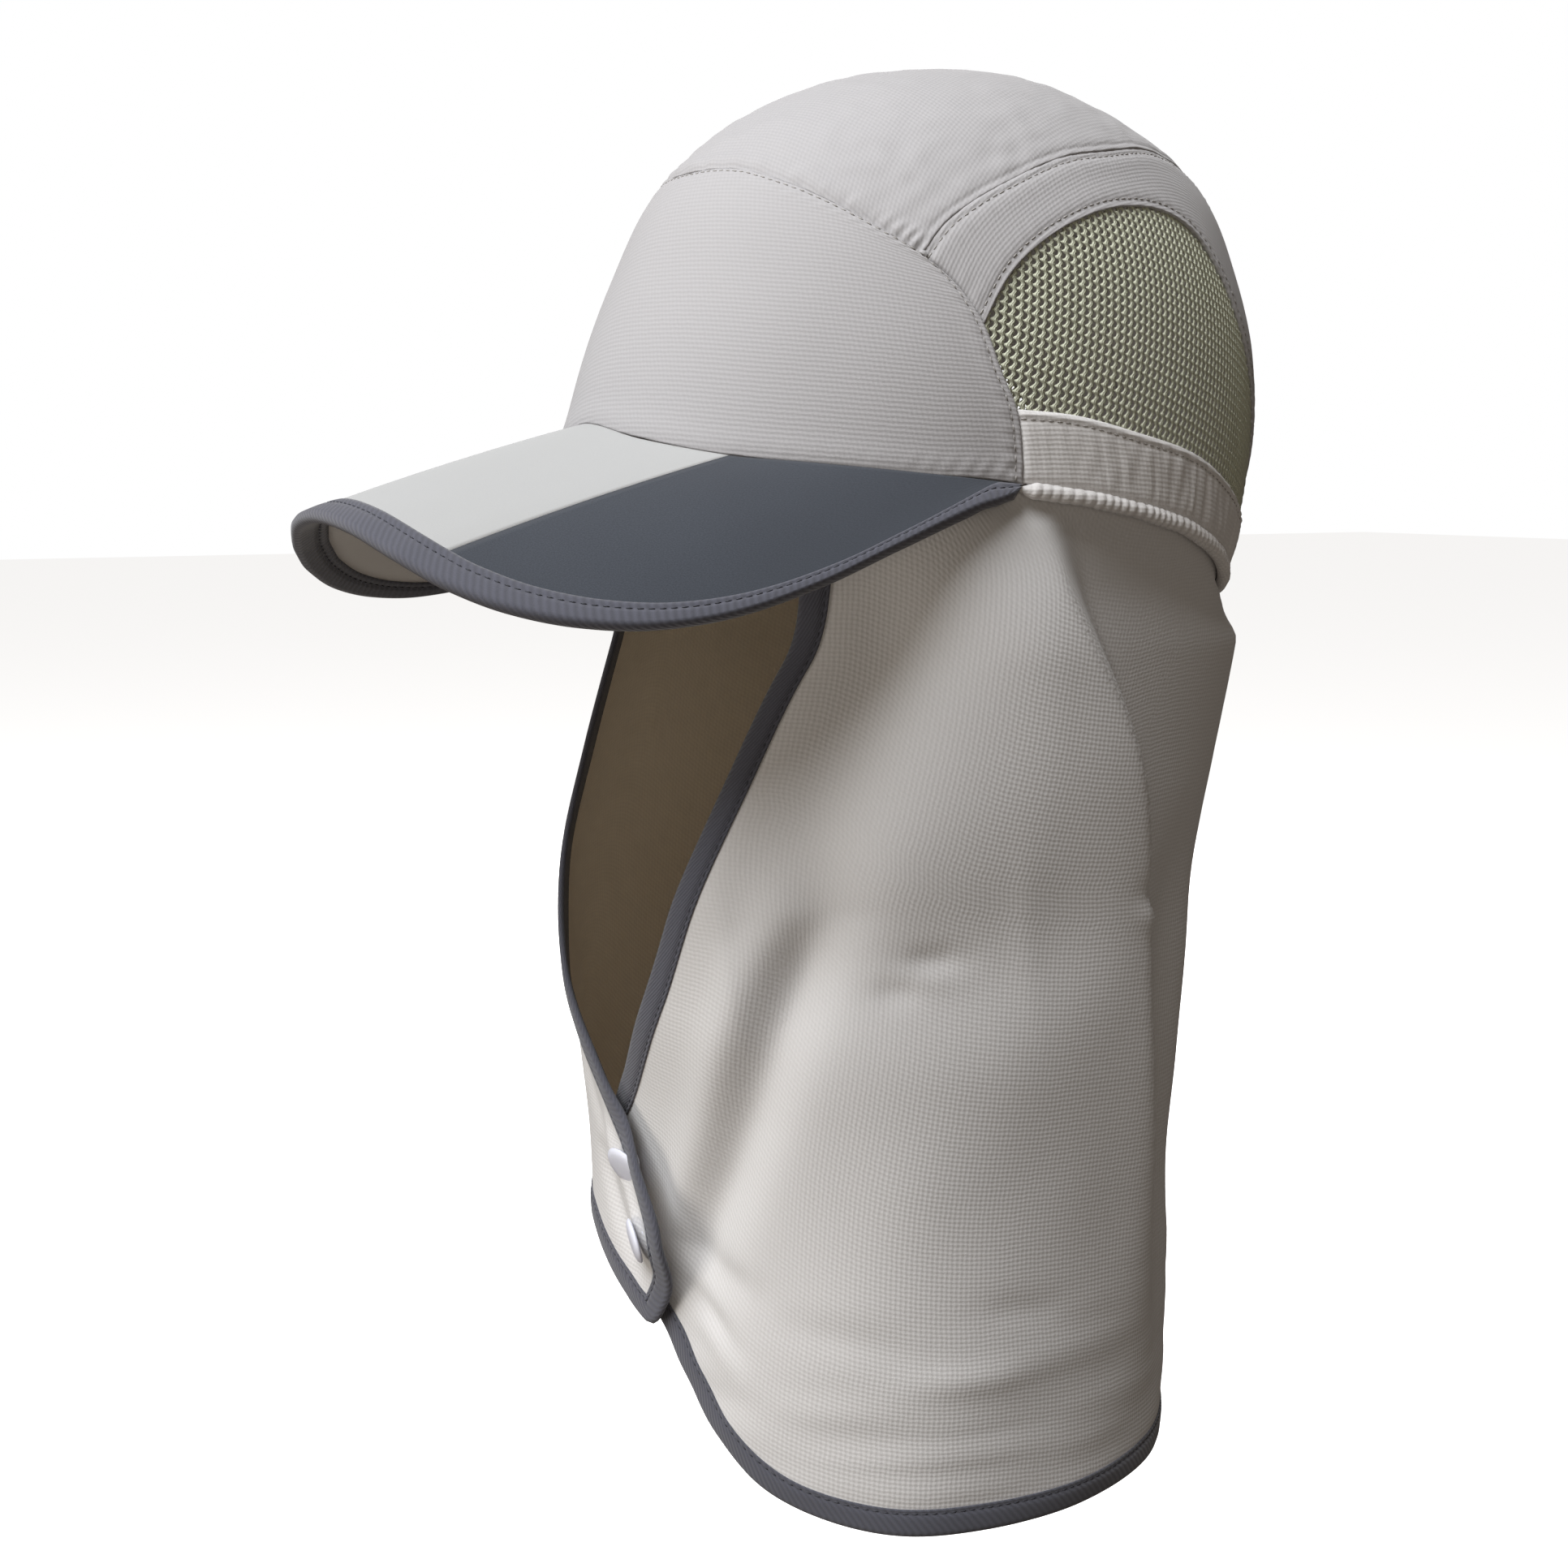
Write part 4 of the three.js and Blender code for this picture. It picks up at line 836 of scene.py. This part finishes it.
def peakTape(turns):
    half, rows = peakThick / 2, tapeLook["rows"]
    points = [[] for k in range(rows + 1)]
    for turn in turns:
        middle = peakPoint(turn, 1, half)
        inward = (peakPoint(turn, 0.9, half) - middle).normalized()
        up = (peakPoint(turn, 1, 0) - peakPoint(turn, 1, peakThick)).normalized()
        fold = (peakFace(turn, 0) - peakFace(turn, 1)).length
        width = min(peak["tapeWidth"], fold * 0.9)
        for k in range(rows + 1):
            x, y = tapeProfile(k / rows, width, half, peakLook["stitchIn"] * width / peak["tapeWidth"])
            points[k].append(middle + inward * x + up * y)
    return Cloth(points)


peakTapeCloth = peakTape(evenTurns(peakLook["tapeColumns"], -peakEnd, peakEnd))
clothPiece("peak_tape", peakTapeCloth, peakLook["tapeCloth"], "binding_tape", ["peak_binding"])


# line of a tape's grid that lies lowest in its sewn groove, on the face above or below
def groove(cloth, upper, width, stitchIn):
    fold = tapeLook["fold"]
    q = stitchIn / width * (0.5 - fold / 2) + fold / 2
    return [cloth.spot(i, (0.5 + (q if upper else -q)) * cloth.rows) for i in range(cloth.columns + 1)]


peakStitches = bmesh.new()
for upper in (True, False):
    line = groove(peakTapeCloth, upper, peak["tapeWidth"], peakLook["stitchIn"])
    sew(peakStitches, line, peakLook["stitchPitch"], margin=2)
stitchPiece("peak_stitches", peakStitches, darkThread)
print("peak made")


# Neck flap
flapLook = {"columns": 110, "rows": 184, "cloth": 0.8, "tapeCloth": 0.45, "tapeWidth": flap["tapeWidth"] - 1,
            "tapeStart": 12, "tapeStep": 1.9, "stitchPitch": 2.6, "stitchIn": 4.9, "wave": 0.55, "hemWave": 0.7,
            "bulge": 2, "bulgeBelow": 4, "pleatFront": 17, "pleatFall": 8, "pleatBack": 12, "pleatEnd": 54}
turnLength = flap["half"] * math.radians(1)
tuckEnd = -(rollHeight + 2 * seamGap)


def flapSection(side, turn, drop):
    sine, cosine = math.sin(math.radians(turn)), math.cos(math.radians(turn))
    middle = -flap["middle"] * flapSections.at(drop, 4)
    if cosine > 0:
        reach = flap["back"] * flapSections.at(drop, 3) - middle
    else:
        reach = flap["front"] * flapSections.at(drop, 2) + middle
    power = 2 / flap["square"]
    return Vector((side * flap["half"] * flapSections.at(drop, 1) * math.copysign(abs(sine) ** power, sine),
                   middle + reach * math.copysign(abs(cosine) ** power, cosine), -drop * flap["drop"]))


# the deep pleat on the wearer's left: drop, turn of its ridge, height of the ridge and dip behind it in mm
pleat = Table(
    (0, 101, 1, 2), (0.05, 95.5, 3, 4), (0.105, 90, 4.5, 7), (0.2, 81.5, 5, 8.5), (0.28, 75.5, 5, 8.5),
    (0.41, 69.5, 3.8, 7), (0.54, 67, 2.6, 4.5), (0.66, 63, 1.5, 2.5), (0.8, 58, 0, 0))
# creases: half, turn and drop of the two ends, height and half width in mm
creases = [
    (1, 148, 0.46, 90, 0.42, -4.6, 21), (1, 113, 0.437, 103, 0.437, -1.2, 3.6),
    (1, 119, 0.468, 110, 0.459, -0.9, 4), (1, 117, 0.452, 104, 0.452, 0.7, 3.6),
    (1, 166, 0.77, 154, 0.8, 0.6, 3.2), (1, 165, 0.785, 150, 0.86, 0.7, 4),
    (1, 166, 0.778, 151, 0.828, -1.3, 3.8), (1, 165, 0.745, 146, 0.77, -1.3, 5),
    (1, 71, 0.385, 64, 0.4, -1.3, 3), (1, 71, 0.41, 63, 0.425, 1, 3), (1, 135, 0.8, 112, 0.82, -0.5, 5),
    (1, 112, 0.845, 92, 0.855, 0.5, 4.5), (1, 100, 0.78, 84, 0.8, -0.5, 4.5),
    (-1, 175, 0.645, 183, 0.7, 2, 2.7), (-1, 183, 0.7, 191.5, 0.76, 2, 2.7),
    (-1, 171, 0.68, 184, 0.78, -2.2, 3.4), (-1, 157, 0.55, 174, 0.662, -1.3, 4),
    (-1, 176, 0.56, 181, 0.63, 0.8, 4)]


def creasePush(side, turn, drop):
    s, t, push = turn * turnLength, drop * flap["drop"], 0
    for half, turnA, dropA, turnB, dropB, height, width in creases:
        if half != side:
            continue
        sA, tA = turnA * turnLength, dropA * flap["drop"]
        ds, dt = turnB * turnLength - sA, dropB * flap["drop"] - tA
        long = math.hypot(ds, dt)
        along = ((s - sA) * ds + (t - tA) * dt) / long
        away = ((s - sA) * dt - (t - tA) * ds) / long
        past = max(-along, along - long, 0)
        if abs(away) < 3 * width and past < 3 * width:
            fade = math.sin(math.pi * min(max(along / long, 0.04), 0.96)) ** 0.5
            push += height * hill(away, width) * hill(past, width) * fade
    return push


def pleatPush(turn, drop):
    if drop > pleat.keys[-1]:
        return 0
    away = turn - pleat.at(drop, 1)
    ridge, dip = pleat.at(drop, 2), pleat.at(drop, 3)
    if away > 0:
        return ridge * hill(away, flapLook["pleatFront"])
    fall = smooth(0, flapLook["pleatFall"], -away)
    return mixed(ridge, -dip, fall) * (1 - smooth(flapLook["pleatBack"], flapLook["pleatEnd"], -away))


def flapPush(side, turn, drop):
    push = -side * 0.5 * (flap["overlapGap"] + flap["wall"]) * smooth(flap["lapStart"], flap["lapFull"], turn)
    for half, topTurn, topDrop, lowTurn, lowDrop, depth, width in flapFolds:
        if half == side:
            along = (drop - topDrop) / (lowDrop - topDrop)
            line = mixed(topTurn, lowTurn, min(max(along, 0), 1))
            fade = smooth(-0.35, 0.25, along) * (1 - smooth(0.75, 1.35, along))
            under = smooth(165, 172, turn) if side > 0 else 0  # where the overlap covers this half
            push += depth * flap["half"] * fade * hill(turn - line, width) * (1 - under)
    push += creasePush(side, turn, drop)
    s, t = side * turn * turnLength, drop * flap["drop"]
    push += flapLook["wave"] * noise.noise(Vector((s / 30, t / 30, 0.4))) * smooth(0.18, 0.35, drop)
    return push + flapLook["hemWave"] * noise.noise(Vector((s / 38, t / 9, 5.4))) * smooth(0.74, 0.9, drop)


def flapInside(side, turn, height):
    around = side * (180 - turn)
    rise = edgeRise(around) + height * risePerLength
    return crownPoint(around, rise, crown["wall"] + flap["tuckGap"] + flap["wall"] / 2)


# what the cloth does right under the roll: it bulges a little, and the pleat opens
def flapExtra(side, turn, drop):
    below = flapInside(side, turn, tuckEnd).z + drop * flap["drop"]
    if below <= 0:
        return 0
    near = flapLook["bulgeBelow"]
    extra = flapLook["bulge"] * hill(below - near, near) * smooth(0, 2.5, below) * (1 - smooth(55, 88, turn))
    return extra + (pleatPush(turn, drop) * smooth(0, 6, below) if side > 0 else 0)


def flapMiddle(side, turn, drop, plain=False):
    first = flapSections.keys[0]
    level = -drop * flap["drop"]
    row = max(drop, first)
    outward = flapSection(side, turn + 0.5, row) - flapSection(side, turn - 0.5, row)
    outward = Vector((-outward.y, outward.x, 0)).normalized() * side
    extra = 0 if plain else flapExtra(side, turn, drop)
    if drop >= first:
        return flapSection(side, turn, drop) + outward * (flapPush(side, turn, drop) + extra)
    top, leaving = flapInside(side, turn, flap["tuck"]), flapInside(side, turn, tuckEnd)
    if level > leaving.z:
        return flapInside(side, turn, mixed(flap["tuck"], tuckEnd, (top.z - level) / (top.z - leaving.z)))
    low = flapMiddle(side, turn, first, True)
    t = (level - leaving.z) / (low.z - leaving.z)
    span = (leaving - low).length
    leave = (leaving - flapInside(side, turn, tuckEnd + 1)).normalized()
    arrive = (flapMiddle(side, turn, first + 0.01, True) - low).normalized()
    bend = leave * (t * (1 - t) ** 2) - arrive * (t * t * (1 - t))
    return leaving.lerp(low, t * t * (3 - 2 * t)) + bend * span + outward * extra


def flapBorder(rows):
    curve = Curve([Vector((row[0] * turnLength, row[1] * flap["drop"])) for row in rows])
    corner = next(i for i, row in enumerate(rows) if len(row) > 2)
    return curve, curve.lengths[corner * curve.fine] / curve.lengths[-1]


borders = {1: flapBorder(leftBorder), -1: flapBorder(rightBorder)}


# turn and drop of a point of the flap laid flat
def unrolled(p):
    return p.x / turnLength, p.y / flap["drop"]


# the same inside one half: across runs from the back to the front edge, down to the hem
def flapPlace(side, across, down):
    curve, corner = borders[side]

    def topAt(length):
        return Vector((length, -flapInside(side, length / turnLength, flap["tuck"]).z))

    topEnd, lowEnd, backTop, backLow = curve.at(0), curve.at(corner), topAt(0), curve.at(1)
    p = topAt(topEnd.x * across) * (1 - down) + curve.at(1 - across * (1 - corner)) * down
    p += backTop.lerp(backLow, down) * (1 - across) + curve.at(down * corner) * across
    p -= backTop * (1 - across) * (1 - down) + topAt(topEnd.x) * across * (1 - down)
    p -= backLow * (1 - across) * down + lowEnd * across * down
    return unrolled(p)


def eased(t):
    return t * (1.5 - 0.5 * t)


def flapSheet():
    half, rows = flapLook["columns"], flapLook["rows"]
    points = []
    for j in range(rows + 1):
        down = eased(1 - j / rows)
        line = []
        for column in range(-half, half + 1):
            side = -1 if column > 0 else 1
            line.append(flapMiddle(side, *flapPlace(side, eased(abs(column) / half), down)))
        points.append(line)
    return Cloth(points)


flapGrid = flapSheet()
flapGrid.shape(lambda ends, point: flapLook["cloth"] / 2)
# the flap's inner face takes the lighter, warmer lining cloth, which is painted light
flapPiece = clothPiece("neck_flap_cloth", flapGrid, flapLook["cloth"], "flap_cloth", ["neck_flap"],
                       "flap_inner_cloth_painted_light")
print("flap made")


def flapTape(stations):
    rows, width, reach = tapeLook["rows"], flapLook["tapeWidth"], 0.0015
    points = [[] for k in range(rows + 1)]
    for side, share in stations:
        curve = borders[side][0]

        def on(spot):
            return flapMiddle(side, *unrolled(spot))

        spot = curve.at(share)
        tangent = (curve.at(share + reach) - curve.at(share - reach)).normalized()
        inward = Vector((-tangent.y, tangent.x))
        point = on(spot)
        along = (on(curve.at(min(share + reach, 1))) - on(curve.at(max(share - reach, 0)))).normalized() * side
        inwardHere = (on(spot + inward * 2) - point).normalized()
        outward = along.cross(inwardHere).normalized()
        for k in range(rows + 1):
            x, y = tapeProfile(k / rows, width, flap["wall"] / 2, flapLook["stitchIn"])
            place = point + inwardHere * x if x < 0 else on(spot + inward * max(x, 0.05))
            points[k].append(place + outward * y)
    return Cloth(points)


# from the front edge of the left half, round its corner and the back, to the front edge of the right half
def tapeStations():
    out = []
    for side in (1, -1):
        length = borders[side][0].lengths[-1]
        count, start = int(length / flapLook["tapeStep"]), flapLook["tapeStart"] / length
        half = [(side, mixed(start, 1, i / count)) for i in range(count + (1 if side > 0 else 0))]
        out += half if side > 0 else half[::-1]
    return out


flapTapeCloth = flapTape(tapeStations())
tapePiece = clothPiece("flap_tape", flapTapeCloth, flapLook["tapeCloth"], "binding_tape",
                       ["flap_binding"])
flapStitches = bmesh.new()
for upper in (True, False):
    line = groove(flapTapeCloth, upper, flapLook["tapeWidth"], flapLook["stitchIn"])
    sew(flapStitches, line, flapLook["stitchPitch"], margin=1)
stitchPiece("flap_stitches", flapStitches, darkThread)
print("flap tape made")


# Press snaps
snapLook = {"segments": 48, "stand": 0.55, "height": 1.75, "rim": 0.35,
            "studRadius": 3.4, "studHeight": 1.9, "backRadius": 5.0, "backHeight": 1.2}


# a round piece of a snap: profile in mm from its middle outwards, stood on one half of the flap
def snapRound(name, side, turn, drop, profile, stand, node, yaw=0, droop=0):
    over = flapMiddle(side, turn, drop)
    alongTurn = flapMiddle(side, turn + 0.5, drop) - flapMiddle(side, turn - 0.5, drop)
    alongDrop = flapMiddle(side, turn, drop + 0.004) - flapMiddle(side, turn, drop - 0.004)
    outward = alongDrop.cross(alongTurn).normalized()
    if outward.y > 0:
        outward.negate()
    outward.rotate(Matrix.Rotation(math.radians(yaw), 3, "Z"))
    outward = (outward - Vector((0, 0, droop))).normalized()
    bm = bmesh.new()
    verts = [bm.verts.new((x, 0, z)) for x, z in profile]
    edges = [bm.edges.new(pair) for pair in zip(verts, verts[1:])]
    bmesh.ops.spin(bm, geom=verts + edges, angle=2 * math.pi, steps=snapLook["segments"], axis=(0, 0, 1),
                   cent=(0, 0, 0), use_merge=True)
    bmesh.ops.remove_doubles(bm, verts=bm.verts, dist=1e-4)
    bmesh.ops.recalc_face_normals(bm, faces=bm.faces)
    turnTo = outward.to_track_quat("Z", "Y").to_matrix().to_4x4()
    place = Matrix.Translation((over + outward * stand) * mm) @ turnTo @ Matrix.Scale(mm, 4)
    bmesh.ops.transform(bm, matrix=place, verts=bm.verts)
    ridden(placed(name, bm, snapMaterial), [node])


def domeProfile(r, h, rim):
    return [(0, h), (r * 0.3, h * 0.985), (r * 0.55, h * 0.93), (r * 0.75, h * 0.82), (r * 0.88, h * 0.66),
            (r * 0.96, h * 0.45), (r, h * 0.26), (r * 0.99, h * 0.1), (r * 0.95, 0), (r * 0.8, -rim * 0.4),
            (r * 0.3, -rim), (0, -rim)]


def discProfile(r, h):
    return [(0, h), (r * 0.8, h), (r * 0.95, h * 0.8), (r, h * 0.5), (r * 0.95, h * 0.2), (r * 0.8, 0), (0, 0)]


dome = domeProfile(snap["diameter"] / 2, snapLook["height"], snapLook["rim"])
stud = discProfile(snapLook["studRadius"], snapLook["studHeight"])
back = discProfile(snapLook["backRadius"], snapLook["backHeight"])
halfWall = flap["wall"] / 2
for word, turn, drop, yaw, droop in (
        ("upper", snap["turn"], snap["drop"], 20, 0.4),
        ("lower", snap["turn"] + snap["lean"], snap["drop"] + snap["spacing"] / flap["drop"], -14, 0.05)):
    name = f"snap_{word}"
    snapRound(f"{name}_dome", -1, turn, drop, dome, halfWall + snapLook["stand"], f"{name}_cap", yaw, droop)
    snapRound(f"{name}_socket", -1, turn, drop, stud, -halfWall - snapLook["studHeight"], f"{name}_stud")
    snapRound(f"{name}_inner", 1, 360 - turn, drop, back, -halfWall - snapLook["backHeight"], f"{name}_back")
print("snaps made")
# Stage: camera, floor and light
view = {"from": (0.5315, -0.3488, 0.0072), "to": (0, -0.042, -0.0812), "lens": 36 * 2730 / 1932}
camera = bpy.data.objects.new("camera", bpy.data.cameras.new("camera"))
camera.data.sensor_width = 36
camera.data.lens = view["lens"]
camera.data.clip_start = 0.01
camera.location = view["from"]
camera.rotation_euler = (Vector(view["to"]) - Vector(view["from"])).to_track_quat("-Z", "Y").to_euler()
bpy.context.scene.collection.objects.link(camera)
bpy.context.scene.camera = camera

floor = {"size": 24, "level": -0.5, "color": (0.95, 0.95, 0.95, 1), "glow": 0.85}
bm = bmesh.new()
bmesh.ops.create_grid(bm, x_segments=1, y_segments=1, size=floor["size"] / 2)
bmesh.ops.translate(bm, verts=bm.verts, vec=(0, 0, floor["level"]))
paper = Finish("paper")
paper.surface(Base_Color=floor["color"], Roughness=0.9, Emission_Color=floor["color"],
              Emission_Strength=floor["glow"])
ground = placed("floor", bm, paper.material)
ground.visible_diffuse = False
ground.visible_glossy = False

lights = {"key": {"turn": 14.5, "rise": 55, "distance": 2.3, "size": 1.9, "power": 84,
                 "color": (0.97, 0.985, 1.0)},
          "back": {"turn": 238, "rise": 14, "distance": 2.3, "size": 1.6, "power": 30,
                  "color": (1.0, 0.98, 0.96)},
          "bounce": {"turn": -2, "rise": -16, "distance": 0.6, "size": 0.24, "power": 0.8,
                    "color": (1.0, 0.93, 0.84)},
          "fill": {"turn": 62, "rise": 4, "distance": 2.0, "size": 1.0, "power": 3.0,
                  "color": (1.0, 0.88, 0.72)}}
aimHeight = -0.08
for name, light in lights.items():
    data = bpy.data.lights.new(name, "AREA")
    data.shape = "DISK"
    data.size = light["size"]
    data.energy = light["power"]
    data.color = light["color"]
    lamp = bpy.data.objects.new(name, data)
    a, r = math.radians(light["turn"]), math.radians(light["rise"])
    aim = Vector((math.sin(a) * math.cos(r), -math.cos(a) * math.cos(r), math.sin(r)))
    lamp.location = Vector((0, 0, aimHeight)) + aim * light["distance"]
    lamp.rotation_euler = aim.to_track_quat("Z", "Y").to_euler()
    bpy.context.scene.collection.objects.link(lamp)

studio = {"air": (0.115, 0.101, 0.088, 1), "backdrop": (1, 1, 1, 1)}
world = bpy.data.worlds.new("studio")
world.use_nodes = True
tree = world.node_tree
air = tree.nodes["Background"]
air.inputs["Color"].default_value = studio["air"]
backdrop = tree.nodes.new("ShaderNodeBackground")
backdrop.inputs["Color"].default_value = studio["backdrop"]
seen, sight = tree.nodes.new("ShaderNodeMixShader"), tree.nodes.new("ShaderNodeLightPath")
tree.links.new(sight.outputs["Is Camera Ray"], seen.inputs[0])
tree.links.new(air.outputs[0], seen.inputs[1])
tree.links.new(backdrop.outputs[0], seen.inputs[2])
tree.links.new(seen.outputs[0], tree.nodes["World Output"].inputs["Surface"])
bpy.context.scene.world = world
bpy.context.scene.view_settings.view_transform = "Standard"
print("stage made")
